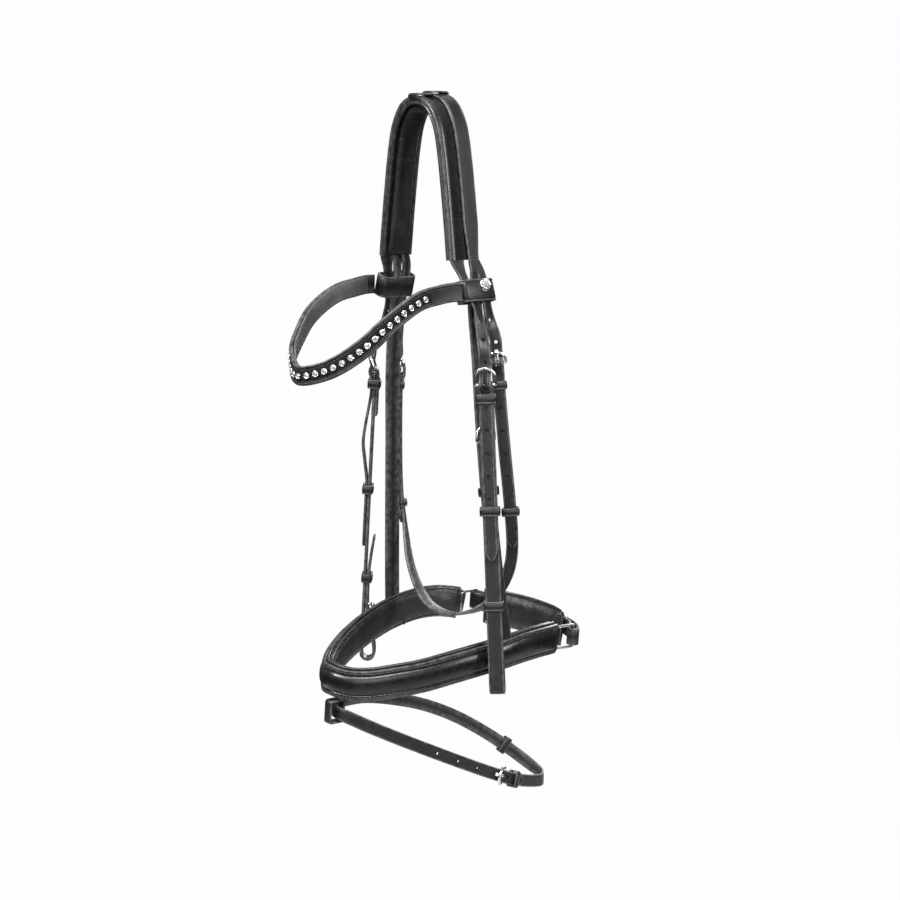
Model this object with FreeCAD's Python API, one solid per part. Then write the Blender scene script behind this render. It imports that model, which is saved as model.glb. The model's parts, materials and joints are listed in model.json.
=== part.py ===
import FreeCAD
import Part
import math
import os

# A snaffle bridle hanging from its headpiece, in millimetres.  +Z is up, the horse faces -Y and
# its near (left) side is +X.  The origin is the underside of the poll pad, where it sits on the
# poll.  Every strap is a list of rows: a centre point, a width direction and a width.

V = FreeCAD.Vector
os.makedirs("parts", exist_ok=True)

# ---- driving dimensions ----
leather = 3.0              # thickness of the straps
skived = 2.6               # thickness of the light straps
fit_gap = 0.15             # between two layers of one body
crown_width = 37.0
crown_leather_thickness = 4.0
crown_pad_thickness = 7.6
headstrap_width = 18.0
billet_width = 12.0
cheek_width = 15.0
throat_width = 12.0
hanger_width = 18.0
flash_width = 13.0
crank_width = 18.0
hinge_z = -196.0           # the straps bend just below the browband loops
browband_height = 19.0
lining_thickness = 2.2
noseband_height = 30.0
noseband_pad_height = 35.0
noseband_pad_thickness = 9.0
noseband_roll = 5.5        # degrees: the noseband hangs lower on the near side
roll_centre = V(0, 0, -540)
chin_pad_height = 38.0
chin_pad_thickness = 12.0
buckle_wire = 1.5          # radius
prong_radius = 1.1
running_clearance = 0.08
frame_tilt = 17.0          # degrees, out over the billet
bit_loop_radius = 5.0
bit_loop_depth = 305.0     # from the cheek buckle's bar to the bottom of the loop
keeper_wall = 2.0
keeper_height = 9.0
slide_clearance = 0.7
throat_slide_clearance = 1.0
crystal_pitch = 9.5
crystal_start = 46.0       # from the browband loop to the first crystal
cup_radius = 3.3


# ---- straps ----
def smooth(rows, steps):
    """Rows on a smooth curve through every given row."""
    out = []
    last = len(rows) - 1
    for i in range(last):
        four = (rows[max(i - 1, 0)], rows[i], rows[i + 1], rows[min(i + 2, last)])
        for k in range(steps):
            u = k / steps
            row = []
            for a, b, c, d in zip(*four):
                bend = (2 * a - 5 * b + 4 * c - d) * u + (3 * b - a - 3 * c + d) * u * u
                row.append(b + 0.5 * u * (c - a + bend))
            out.append(tuple(row))
    out.append(tuple(rows[last]))
    return out


def axes(rows, i):
    """Centre and the three directions of a strap at one of its rows: along, across and out."""
    centre = V(*rows[i][0:3])
    along = V(*rows[min(i + 1, len(rows) - 1)][0:3]) - V(*rows[max(i - 1, 0)][0:3])
    along.normalize()
    across = V(*rows[i][3:6])
    across = across - along * across.dot(along)
    across.normalize()
    return centre, along, across, along.cross(across)


def skin(rings, closed=False):
    """Flat-faced solid through rings of corners."""
    faces = []
    count = len(rings)
    sides = len(rings[0])
    for i in range(count if closed else count - 1):
        a = rings[i]
        b = rings[(i + 1) % count]
        for k in range(sides):
            m = (k + 1) % sides
            faces.append(Part.Face(Part.makePolygon([a[k], a[m], b[m], a[k]])))
            faces.append(Part.Face(Part.makePolygon([a[k], b[m], b[k], a[k]])))
    if not closed:
        for ring in (rings[0], rings[-1]):
            faces.append(Part.Face(Part.makePolygon(ring + [ring[0]])))
    shell = Part.Shell(faces)
    shell.sewShape()
    solid = Part.Solid(shell)
    if solid.Volume < 0:
        solid.reverse()
    return solid


def ribbon(rows, thickness, lift=0.0):
    """A strap of constant thickness; lift moves it outward from the rows' line."""
    rings = []
    for i, row in enumerate(rows):
        centre, along, across, out = axes(rows, i)
        half = across * (row[6] / 2)
        top = out * (lift + thickness / 2)
        bottom = out * (lift - thickness / 2)
        rings.append([centre - half + bottom, centre + half + bottom,
                      centre + half + top, centre - half + top])
    return skin(rings)


def hanging(points):
    """Rows of a hanging strap from x, y, z, facing angle and width; 0 degrees faces +X."""
    rows = []
    for x, y, z, facing, width in points:
        turn = math.radians(facing)
        rows.append((x, y, z, math.sin(turn), math.cos(turn), 0, width))
    return rows


def banded(points, width):
    """Rows of a strap that stands on edge, such as a noseband, from its x, y, z points."""
    return [(x, y, z, 0, 0, -1, width) for x, y, z in points]


def spot(rows, distance):
    """Centre, along, across and out at a distance along a strap."""
    done = 0.0
    for i in range(len(rows) - 1):
        start = V(*rows[i][0:3])
        step = V(*rows[i + 1][0:3]) - start
        if done + step.Length >= distance or i == len(rows) - 2:
            centre, along, across, out = axes(rows, i)
            return start + step * ((distance - done) / step.Length), along, across, out
        done += step.Length


def length_of(rows):
    total = 0.0
    for a, b in zip(rows, rows[1:]):
        total += (V(*b[0:3]) - V(*a[0:3])).Length
    return total


def seat(shape, place, lift=0.0):
    """Put a piece made in its own axes (x across, y out, z along the strap) on a strap."""
    centre, along, across, out = place
    at = centre + out * lift
    matrix = FreeCAD.Matrix(across.x, out.x, along.x, at.x,
                            across.y, out.y, along.y, at.y,
                            across.z, out.z, along.z, at.z,
                            0, 0, 0, 1)
    return shape.transformed(matrix)


def point_on(place, x, y, z):
    centre, along, across, out = place
    return centre + across * x + out * y + along * z


def mirrored(shape):
    return shape.mirror(V(0, 0, 0), V(1, 0, 0))


# ---- small pieces in strap axes: x across, y out, z along ----
def box(x0, x1, y0, y1, z0, z1):
    return Part.makeBox(x1 - x0, y1 - y0, z1 - z0, V(x0, y0, z0))


def keeper(width, low, high, height, clearance):
    """Loop round a strap: it fills the width, and low to high across its thickness."""
    half = width / 2 + clearance
    low = low - clearance
    high = high + clearance
    wall = keeper_wall
    outside = box(-half - wall, half + wall, low - wall, high + wall, -height / 2, height / 2)
    return outside.cut(box(-half, half, low, high, -height, height))


def buckle_reach(inner):
    return inner / 2 + buckle_wire


def buckle_frame(inner, side, tilt=frame_tilt):
    """Horseshoe wire frame: a bar on the x axis and an arch towards -z, tilted outward."""
    reach = buckle_reach(inner)
    bar = Part.makeCylinder(buckle_wire, 2 * reach, V(-reach, 0, 0), V(1, 0, 0))
    ring = Part.Face(Part.Wire(Part.makeCircle(buckle_wire, V(reach, 0, -side), V(0, 0, 1))))
    arch = ring.revolve(V(0, 0, -side), V(0, 1, 0), 180)
    pieces = [arch]
    for x in (-reach, reach):
        pieces.append(Part.makeCylinder(buckle_wire, side, V(x, 0, 0), V(0, 0, -1)))
        pieces.append(Part.makeSphere(buckle_wire, V(x, 0, 0)))
    frame = bar.fuse(pieces)
    frame.rotate(V(0, 0, 0), V(1, 0, 0), tilt)
    return frame


def buckle_prong(inner, side, tilt=frame_tilt):
    """Prong: an eye that turns on the bar and a tongue that rests on the arch."""
    reach = buckle_reach(inner) + side + 2.2
    rise = buckle_wire + running_clearance + prong_radius + 0.02
    eye_outer = rise + 0.2
    eye = Part.makeCylinder(eye_outer, 3.2, V(-1.6, 0, 0), V(1, 0, 0))
    tongue = Part.makeCylinder(prong_radius, reach, V(0, rise, 0), V(0, 0, -1))
    prong = eye.fuse([tongue, Part.makeSphere(prong_radius, V(0, rise, -reach))])
    bore = buckle_wire + running_clearance
    prong = prong.cut(Part.makeCylinder(bore, 6, V(-3, 0, 0), V(1, 0, 0)))
    prong.rotate(V(0, 0, 0), V(1, 0, 0), tilt)
    return prong


def buckle_turn(width, back_length):
    """Top of a strap folded round a buckle's bar, with its sewn end behind, from z = 0 down."""
    half = width / 2
    out = leather / 2 + 1.8
    fold = Part.makeCylinder(out, width, V(-half, 0, 0), V(1, 0, 0))
    fold = fold.fuse(box(-half, half, -out, out, 0, out + 1))
    back = box(-half, half, -leather - skived + 1.2, -leather / 2, out, back_length)
    channel = buckle_wire + 0.3
    turn = fold.fuse(back)
    turn = turn.cut(box(-half - 1, half + 1, -channel, channel, -channel, channel))
    return turn.cut(prong_gap)


prong_gap = box(-2.1, 2.1, -6, 6, -4, 3.6)
prong_slot = box(-2.2, 2.2, -6, 16, -13, 4.4)


def billet_run(place, first, bow, tip_z):
    """Rows of a billet from its root rows, through a buckle at place, down to its point."""
    shape = [(1.2, -34), (1.2, -24), (1.3, -17), (2.6, -9), (5.3, -1), (5.1, 3),
             (3.7, 7), (3.3, 11), (3.3, 26), (3.3 + bow, 70), (3.3 + 0.6 * bow, 92),
             (3.3, 114), (3.3, 134), (3.3, tip_z - 12)]
    rows = list(first)
    for y, z in shape:
        rows.append(tuple(point_on(place, 0, y, z)) + tuple(place[2]) + (billet_width,))
    for back, width in ((6, billet_width * 0.82), (2, billet_width * 0.45), (0, 1.6)):
        rows.append(tuple(point_on(place, 0, 3.3, tip_z - back)) + tuple(place[2]) + (width,))
    return rows


# ---- headpiece ----
arch = [(0, 9.5), (13, 7), (24, -1), (33.5, -18), (39.5, -43), (45, -79), (49.5, -114),
        (53.2, -146)]


def arch_rows(y, width, low_z):
    points = [(x, z) for x, z in arch if z >= low_z]
    line = [(-x, z) for x, z in reversed(points[1:])] + points
    return smooth([(x, y, z, 0, 1, 0, width) for x, z in line], 3)


pad_lift = -(crown_leather_thickness + crown_pad_thickness) / 2 - fit_gap
crown_rows = arch_rows(0, crown_width, -200)
pad_rows = arch_rows(0, crown_width - 1, -200)


def crown_legs():
    """The crown divides below the pad: a cheek leg in front and a throat leg behind."""
    cheek = hanging([(53.0, -9, -144, 0, 17), (57.2, -5.4, -160, 0, 10.4),
                     (62.6, 0.3, -177, -4, 11.6), (66.8, 6.0, hinge_z + 2.4, -10, 12)])
    throat = hanging([(53.0, 14, -144, 0, 9), (57.2, 19.0, -160, 0, 10.2),
                      (62.6, 19.4, -177, -4, 11.4), (66.8, 19.3, hinge_z + 2.4, -10, 12)])
    legs = []
    for rows in (cheek, throat):
        leg = ribbon(smooth(rows, 4), leather)
        legs.append(leg)
        legs.append(mirrored(leg))
    return legs


crown_leather = ribbon(crown_rows, crown_leather_thickness).fuse(crown_legs())
crown_padding = ribbon(pad_rows, crown_pad_thickness, pad_lift)

headstrap_lift = (crown_leather_thickness + skived) / 2 + fit_gap


def headstrap():
    """The noseband's strap over the crown: it dives through the slit between the legs."""
    side = []
    for x, z, width in ((58.3, -150, 10.6), (59.2, -158, 10), (59.1, -165, 10),
                        (58.7, -174, 10), (59.6, -185, 14), (60.8, hinge_z + 0.5, 18)):
        side.append((x, 8.5, z, 0, 1, 0, width))
    top = []
    for row in arch_rows(9.2, headstrap_width, -120):
        top.append(row)
    rows = []
    for i, row in enumerate(top):
        centre, along, across, out = axes(top, i)
        rows.append(tuple(centre + out * headstrap_lift) + row[3:])
    off = [(-r[0],) + r[1:] for r in reversed(side)]
    return ribbon(smooth(off, 3)[:-1] + [off[-1]] + rows + smooth(side, 3), skived)


noseband_headstrap = headstrap()
poll_top = arch[0][1] + headstrap_lift + skived / 2
poll_keeper = box(-8, 8, -crown_width / 2, crown_width / 2 + 2.4, 11.8, poll_top + 2.4)
poll_keeper = poll_keeper.cut(box(-9, 9, -crown_width / 2 + 2, crown_width / 2 + 0.4, 11,
                                  poll_top + 0.4))

# ---- browband ----
browband_points = [(68.5, -14.6, -176), (66.5, -27, -176), (65, -42, -178), (64.5, -63, -182),
                   (64, -84, -192), (61.5, -103, -205), (54, -121, -222), (43.5, -136.5, -235.5),
                   (30, -147, -245), (14, -156, -251), (0, -160, -253)]
browband_points += [(-x, y, z) for x, y, z in reversed(browband_points[:-1])]
browband_rows = smooth(banded(browband_points, browband_height), 3)
browband_leather = ribbon(browband_rows, leather)
lining_rows = [r[:6] + (browband_height - 1.5,) for r in browband_rows]
browband_lining = ribbon(lining_rows, lining_thickness,
                         -(leather + lining_thickness) / 2 - 3 * fit_gap)

loop_centre = V(61.7, 7.4, -177)
loop_lean = 16.0
loop_width = 37.4
loop_depth = 14.0
loop_height = 22.0


def browband_loop():
    """Flat loop that the headpiece's straps pass down through, leaning with them."""
    wall = 2.4
    outside = box(-loop_depth / 2 - wall, loop_depth / 2 + wall, -loop_width / 2 - wall,
                  loop_width / 2 + wall, -loop_height / 2, loop_height / 2)
    loop = outside.cut(box(-loop_depth / 2, loop_depth / 2, -loop_width / 2, loop_width / 2,
                           -loop_height, loop_height))
    loop.rotate(V(0, 0, 0), V(0, 1, 0), -loop_lean)
    loop.translate(loop_centre)
    return loop


def snap_stud():
    """Round stud with a set stone, on the outside of the loop."""
    stud = Part.makeCylinder(6.3, 2.0, V(0, 0, 0), V(1, 0, 0))
    stone = Part.makeCone(5.0, 2.6, 2.6, V(2.0, 0, 0), V(1, 0, 0))
    stud = stud.fuse(stone)
    stud.rotate(V(0, 0, 0), V(0, 1, 0), -loop_lean)
    lean = math.radians(loop_lean)
    out = loop_depth / 2 + 2.4 + fit_gap
    stud.translate(V(loop_centre.x + out * math.cos(lean), 13.5,
                     loop_centre.z + 5 + out * math.sin(lean)))
    return stud


near_loop = browband_loop()
near_stud = snap_stud()
crystal_cups = []
crystals = []
browband_length = length_of(browband_rows)
crystal_count = int((browband_length - 2 * crystal_start) / crystal_pitch) + 1
crystal_pitch = (browband_length - 2 * crystal_start) / (crystal_count - 1)
for i in range(crystal_count):
    place = spot(browband_rows, crystal_start + i * crystal_pitch)
    cup = Part.makeCylinder(cup_radius, 1.4, V(0, 0, 0), V(0, 1, 0))
    stone = Part.makeCone(cup_radius - 0.5, 1.5, 1.6, V(0, 1.5, 0), V(0, 1, 0))
    crystal_cups.append(seat(cup, place, leather / 2 + 2 * fit_gap))
    crystals.append(seat(stone, place, leather / 2 + 2 * fit_gap))

# ---- cheek assembly, made on the near side ----
cheek_bar = V(85.3, 0.8, -266)
cheek_foot = V(107.0, -2.0, -570)
cheek_facing = 47.0
cheek_along = cheek_foot - cheek_bar
cheek_along.normalize()
turn = math.radians(cheek_facing)
cheek_across = V(math.sin(turn), math.cos(turn), 0)
cheek_across = cheek_across - cheek_along * cheek_across.dot(cheek_along)
cheek_across.normalize()
cheek_place = (cheek_bar, cheek_along, cheek_across, cheek_along.cross(cheek_across))
cheek_inner = 17.0
cheek_side = 7.0
cheek_root = hanging([(67.4, 6.5, hinge_z - 1.6, -10, billet_width),
                      (72.0, 5.2, -209, 6, billet_width),
                      (77.6, 3.4, -221, 28, billet_width)])


def outline(points, thickness):
    """Both edges of a strap seen from the side, from its middle line in y and z."""
    left = []
    right = []
    for i, (y, z) in enumerate(points):
        y0, z0 = points[max(i - 1, 0)]
        y1, z1 = points[min(i + 1, len(points) - 1)]
        size = math.hypot(y1 - y0, z1 - z0)
        ny = -(z1 - z0) / size * thickness / 2
        nz = (y1 - y0) / size * thickness / 2
        left.append(V(0, y + ny, z + nz))
        right.append(V(0, y - ny, z - nz))
    return left, right


def cheekpiece():
    """Cheek strap with its buckle turn at the top and the open loop for the bit at the foot."""
    inner = bit_loop_radius
    outer = inner + leather
    centre_y = -(inner + leather / 2)
    centre_z = bit_loop_depth - outer
    half = leather / 2
    tail = [(2 * centre_y, centre_z), (2 * centre_y + 0.6, centre_z - 9),
            (-8.6, centre_z - 28), (-3.6, centre_z - 47), (-3.35, centre_z - 80),
            (-4.9, centre_z - 102), (-7.5, centre_z - 124)]
    outer_edge, inner_edge = outline(tail, leather)
    top = 3.2
    edges = [Part.makeLine(V(0, half, top), V(0, half, centre_z)),
             Part.Arc(V(0, half, centre_z), V(0, centre_y, centre_z + outer),
                      V(0, centre_y - outer, centre_z)).toShape()]
    outside = [V(0, centre_y - outer, centre_z)] + sorted_edge(tail, outer_edge, inner_edge, -1)
    inside = [V(0, centre_y - inner, centre_z)] + sorted_edge(tail, outer_edge, inner_edge, 1)
    for a, b in zip(outside, outside[1:]):
        edges.append(Part.makeLine(a, b))
    edges.append(Part.makeLine(outside[-1], inside[-1]))
    back = list(reversed(inside))
    for a, b in zip(back, back[1:]):
        edges.append(Part.makeLine(a, b))
    edges.append(Part.Arc(V(0, centre_y - inner, centre_z), V(0, centre_y, centre_z + inner),
                          V(0, centre_y + inner, centre_z)).toShape())
    edges.append(Part.makeLine(V(0, centre_y + inner, centre_z), V(0, -half, top)))
    edges.append(Part.makeLine(V(0, -half, top), V(0, half, top)))
    face = Part.Face(Part.Wire(edges))
    strap = face.extrude(V(cheek_width, 0, 0))
    strap.translate(V(-cheek_width / 2, 0, 0))
    return strap.fuse(buckle_turn(cheek_width, 46)).removeSplitter()


def sorted_edge(tail, one, two, sign):
    """The edge of the tail that lies to one side in y, without its first point."""
    edge = []
    for middle, a, b in zip(tail[1:], one[1:], two[1:]):
        edge.append(a if (a.y - middle[0]) * sign > 0 else b)
    return edge


def cheek_set(bow, tip_z):
    """The pieces of one cheek, in near-side position, as a dict of node ending to solid."""
    billet = ribbon(smooth(billet_run(cheek_place, cheek_root, bow, tip_z), 4), skived)
    billet = billet.cut(seat(prong_slot, cheek_place))
    stack_low = -leather / 2
    stack_high = 3.3 + skived / 2
    down = dict(
        keeper_upper=(13.5, -leather - skived + 1.2, stack_high + 0.3, 0.2),
        keeper_lower=(123.5, stack_low, stack_high, slide_clearance),
        bit_keeper=(217.0, -5.4, -stack_low, 0.25),
    )
    pieces = {
        "cheek_billet": billet,
        "cheekpiece": seat(cheekpiece(), cheek_place),
        "cheek_buckle_frame": seat(buckle_frame(cheek_inner, cheek_side), cheek_place),
        "cheek_buckle_prong": seat(buckle_prong(cheek_inner, cheek_side), cheek_place),
    }
    for name, (z, low, high, clearance) in down.items():
        loop = keeper(cheek_width, low, high, keeper_height, clearance)
        loop.translate(V(0, 0, z))
        node = "bit_keeper" if name == "bit_keeper" else "cheek_" + name
        pieces[node] = seat(loop, cheek_place)
    stud = Part.makeCylinder(1.6, 3.0, V(0, -5.1, 0), V(0, -1, 0))
    stud = stud.fuse(Part.makeSphere(2.5, V(0, -9.2, 0)))
    stud.translate(V(0, 0, 246))
    pieces["hook_stud"] = seat(stud, cheek_place)
    return pieces


# ---- throatlash ----
throat_inner = 13.6
throat_side = 3.6
throat_tilt = 28.0
throat_points = hanging([
    (74.0, 26.0, -247, 46, throat_width), (76.5, 28.0, -285, 46, throat_width),
    (80.0, 31.0, -334, 46, throat_width), (82.8, 34.5, -378, 46, throat_width),
    (83.8, 37.5, -414, 44, throat_width), (80.5, 40.0, -441, 40, throat_width),
    (70.0, 41.5, -465, 32, throat_width), (52.0, 39.0, -489, 20, throat_width),
    (30.0, 30.0, -503, 9, throat_width), (0.0, 23.5, -508, 0, throat_width),
    (-30.0, 21.0, -498, -9, throat_width), (-60.0, 26.5, -467, -22, throat_width),
    (-81.5, 36.0, -425, -40, throat_width), (-87.5, 36.6, -391, -45, throat_width),
    (-85.5, 34.0, -340, -46, throat_width), (-79.5, 29.5, -300, -46, throat_width),
    (-74.5, 26.5, -260, -46, throat_width)])
throat_rows = smooth(throat_points, 4)
throat_length = length_of(throat_rows)
near_throat_place = spot(throat_rows, 0.0)
off_throat_place = spot(throat_rows, throat_length)


def reversed_place(place):
    """The same spot with the strap running the other way, still facing out."""
    centre, along, across, out = place
    return centre, along * -1, across * -1, out


off_throat_place = reversed_place(off_throat_place)


def throat_turns():
    """The folded ends round the two throat buckle bars."""
    pieces = []
    for place in (near_throat_place, off_throat_place):
        pieces.append(seat(buckle_turn(throat_width, 12), place))
    return pieces


def throat_layer(start, end, lift, reverse):
    """Rows of a pointed second layer on the throatlash, between two distances from one end."""
    rows = list(reversed(throat_rows)) if reverse else throat_rows
    out = []
    steps = 26
    for i in range(steps + 1):
        d = start + (end - start) * i / steps
        centre, along, across, face = spot(rows, d)
        if reverse:
            face = face * -1
            across = across * -1
        width = min(throat_width, 1.6 + (end - d) * 1.6)
        out.append(tuple(centre + face * lift) + tuple(across) + (width,))
    return out


def throat_billet(root, place, reverse, tip):
    """Throat billet: from the headpiece through its buckle and down outside the throatlash."""
    shape = [(0.8, -24), (0.4, -16), (0.2, -10.5), (0.5, -8.2), (2.8, -5.1), (5.2, -0.8),
             (5.1, 3.5), (4.3, 6.5)]
    rows = list(root)
    for y, z in shape:
        rows.append(tuple(point_on(place, 0, y, z)) + tuple(place[2]) + (billet_width,))
    run = throat_layer(12, tip, 3.4, reverse)
    billet = ribbon(smooth(rows, 3) + run, skived)
    return billet.cut(seat(prong_slot, place))


near_throat_root = hanging([(67.4, 19.3, hinge_z - 1.6, -10, billet_width),
                            (69.6, 21.0, -208, 10, billet_width)])
off_throat_root = [(-r[0], r[1], r[2], r[3], -r[4], r[5], r[6]) for r in near_throat_root]

throat_strap = ribbon(throat_rows, leather).fuse(throat_turns())
bar_channel = box(-throat_width, throat_width, -1.8, 1.8, -1.8, 1.8)
for end in (near_throat_place, off_throat_place):
    throat_strap = throat_strap.cut([seat(bar_channel, end), seat(prong_gap, end)])


def throat_keeper(distance, reverse, low, high, clearance):
    rows = list(reversed(throat_rows)) if reverse else throat_rows
    centre, along, across, out = spot(rows, distance)
    if reverse:
        out = out * -1
        across = across * -1
    loop = keeper(throat_width, low, high, keeper_height - 1, clearance)
    return seat(loop, (centre, along, across, out))


# ---- noseband ----
def rolled(shape):
    shape.rotate(roll_centre, V(0, 1, 0), noseband_roll)
    return shape



noseband_points = [(72.5, 108, -526), (80.5, 95, -524), (86, 80, -522.5), (89, 62, -522.5),
                   (89.5, 44, -524), (88.4, 24, -527), (84, 1, -531), (75, -31, -538),
                   (64.5, -58, -545), (52, -80, -550), (37, -101, -555), (20, -117, -557),
                   (0, -124, -556)]
noseband_points += [(-x, y, z) for x, y, z in reversed(noseband_points[:-1])]
noseband_rows = smooth(banded(noseband_points, noseband_height), 3)
noseband_leather = ribbon(noseband_rows, leather + 1)
nose_pad_rows = [r[:6] + (noseband_pad_height,) for r in noseband_rows[2:-2]]
nose_pad_lift = -(leather + 1 + noseband_pad_thickness) / 2 - fit_gap
noseband_padding = ribbon(nose_pad_rows, noseband_pad_thickness, nose_pad_lift)

ring_bar_x = 75.5
ring_bar_y = 128.0
ring_bar_z = -526.0
ring_height = 23.0


def noseband_ring():
    """Square ring let into the noseband's end; the chin strap turns round its far bar."""
    start = V(73.2, 105.0, ring_bar_z)
    end = V(ring_bar_x, ring_bar_y, ring_bar_z)
    half = V(0, 0, ring_height / 2)
    corners = [start - half, start + half, end + half, end - half]
    pieces = []
    for a, b in zip(corners, corners[1:] + corners[:1]):
        pieces.append(Part.makeCylinder(buckle_wire, (b - a).Length, a, b - a))
        pieces.append(Part.makeSphere(buckle_wire, a))
    return pieces[0].fuse(pieces[1:])


near_hanger_points = hanging([
    (61.0, 10.5, hinge_z - 3.6, 0, hanger_width), (65.0, 10.0, -245, 0, hanger_width),
    (69.6, 10.2, -300, 0, hanger_width), (75.0, 11.8, -362, 0, hanger_width),
    (81.0, 15.5, -430, 0, hanger_width), (85.3, 19.8, -480, 0, hanger_width),
    (88.0, 23.4, -516.5, 0, hanger_width)])
off_hanger_points = hanging([
    (61.0, 6.5, hinge_z - 3.6, 0, hanger_width), (66.5, 8.5, -262, 0, hanger_width),
    (74.0, 14.0, -345, 0, hanger_width), (83.0, 20.5, -440, 0, hanger_width),
    (88.5, 25.0, -499.5, 0, hanger_width)])
near_hanger_rows = smooth(near_hanger_points, 6)
off_hanger_rows = smooth(off_hanger_points, 6)
near_hanger = ribbon(near_hanger_rows, skived)
off_hanger = mirrored(ribbon(off_hanger_rows, skived))
hanger_buckle_at = 124.0   # along the near hanger, from its top
hanger_buckle_place = spot(near_hanger_rows, hanger_buckle_at)
hanger_buckle_lift = 3.0
hanger_inner = 19.6
hanger_side = 5.0
hanger_tilt = 5.0
hanger_tail_length = 66.0


def hanger_tail():
    """Second layer on the outside of the near hanger, below its buckle."""
    rows = []
    steps = 17
    for i in range(steps):
        down = 3.6 + (hanger_tail_length - 3.6) * i / (steps - 1)
        centre, along, across, out = spot(near_hanger_rows, hanger_buckle_at + down)
        width = min(hanger_width - 2, 2 + (hanger_tail_length - down) * 1.7)
        rows.append(tuple(centre + out * 2.9) + tuple(across) + (width,))
    return ribbon(rows, skived)


# ---- chin strap ----
chin_points = [(57, 132, -526), (46, 135.5, -525.5), (32, 137.5, -525), (5, 136, -524.5),
               (-25, 129, -524.5), (-50, 118, -525)]
chin_rows = smooth(banded(chin_points, chin_pad_height), 4)
chin_pad = ribbon(chin_rows[3:], chin_pad_thickness)


def back_of_chin(distance):
    """A spot on the pad's middle line with out turned to face back."""
    centre, along, across, out = spot(chin_rows, distance)
    return centre, along, across * -1, out * -1


def behind_chin(distance, lift):
    return point_on(back_of_chin(distance), 0, lift, 0)


fold = 5.0                 # middle line of a strap's fold round a ring bar
layer_one = chin_pad_thickness / 2 + fit_gap + skived / 2
layer_two = layer_one + 5.0
crank_buckle_at = 34.0     # along the chin pad, from its near end


def crank_strap():
    """From the pad, out through the near ring, round its bar and back over the buckle."""
    points = [behind_chin(22, layer_one + 0.3), behind_chin(10, layer_one + 0.3),
              behind_chin(1, layer_one - 0.4), V(66, 131.0, ring_bar_z)]
    for angle in (-125, -80, -35, 10, 55):
        a = math.radians(angle)
        points.append(V(ring_bar_x + fold * math.cos(a), ring_bar_y + fold * math.sin(a),
                        ring_bar_z))
    points += [V(69.5, 139.0, ring_bar_z), behind_chin(3, layer_two - 0.6)]
    for d, dip in ((14, 1.9), (24, 1.9), (28.5, 1.0), (32.5, 0), (40, 0), (52, 0), (64, 0)):
        points.append(behind_chin(d, layer_two - dip))
    rows = [tuple(p) + (0, 0, -1, crank_width) for p in points]
    return ribbon(smooth(rows, 3), skived)


def chin_leather():
    """Outer strap of the chin pad, from the crank buckle to its fold round the off ring."""
    length = length_of(chin_rows)
    points = []
    for d in (crank_buckle_at + 4.6, 46, 60, 76, 92, length - 4):
        points.append(behind_chin(d, layer_one + fit_gap))
    points.append(V(-64, 125.0, ring_bar_z))
    for angle in (-120, -165, -210, -255):
        a = math.radians(angle)
        points.append(V(-ring_bar_x + fold * math.cos(a), ring_bar_y + fold * math.sin(a),
                        ring_bar_z))
    points.append(V(-68.5, 134.0, ring_bar_z))
    points.append(V(-60.0, 129.5, ring_bar_z))
    rows = [tuple(p) + (0, 0, -1, crank_width) for p in points]
    return ribbon(smooth(rows, 3), skived)


# ---- flash strap ----
flash_points = [(28.8, 104, -691), (31.6, 90, -687), (33.4, 79, -683), (33.3, 72, -680),
                (31.3, 62, -676), (30.9, 50, -671), (33.5, 15, -655.5), (33, -23, -638),
                (29, -59, -621), (22, -92, -604.5), (14, -111, -594), (6, -119.5, -589),
                (-6, -119.5, -585.5), (-14, -110, -584.5), (-22, -88, -585),
                (-30, -55, -588.5), (-35, -13, -598.5), (-37, 28, -611.5), (-37.5, 71, -631),
                (-35, 111, -655), (-28, 136, -674), (-15, 152, -690), (0, 155, -698),
                (14, 143, -700), (22, 118, -695), (26.2, 100, -690), (28.4, 88, -686),
                (29.2, 77.5, -682)]
flash_rows = smooth(banded(flash_points, flash_width), 3)
flash_strap = ribbon(flash_rows, skived)
flash_length = length_of(flash_rows)
flash_pivot = V(0, -120.5, -587)


flash_end = reversed_place(spot(flash_rows, flash_length))
flash_buckle_place = (point_on(flash_end, 0, 0, -3.4),) + flash_end[1:]
flash_inner = flash_width + 1.6
flash_side = 4.0
flash_tilt = 30.0
flash_keeper_at = 540.0   # along the flash strap, from its tip


def flash_loop():
    """Leather loop under the noseband that the flash strap threads through."""
    wall = 2.2
    half_y = 7.0
    half_z = 10.0
    outside = box(-5, 5, -half_y - wall, half_y + wall, -half_z - wall, half_z + wall)
    loop = outside.cut(box(-8, 8, -half_y, half_y, -half_z, half_z))
    loop.rotate(V(0, 0, 0), V(0, 1, 0), noseband_roll)
    loop.translate(flash_pivot)
    return loop


# ---- assemble the nodes ----
nodes = {
    "crown_leather": crown_leather,
    "crown_padding": crown_padding,
    "noseband_headstrap": noseband_headstrap,
    "poll_keeper": poll_keeper,
    "browband_leather": browband_leather,
    "browband_lining": browband_lining,
    "crystal_cups": Part.makeCompound(crystal_cups),
    "crystals": Part.makeCompound(crystals),
    "near_browband_loop": near_loop,
    "off_browband_loop": mirrored(near_loop),
    "snap_studs": Part.makeCompound([near_stud, mirrored(near_stud)]),
}
for ending, solid in cheek_set(0.0, 172.0).items():
    nodes["near_" + ending] = solid
for ending, solid in cheek_set(5.5, 184.0).items():
    nodes["off_" + ending] = mirrored(solid)

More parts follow.
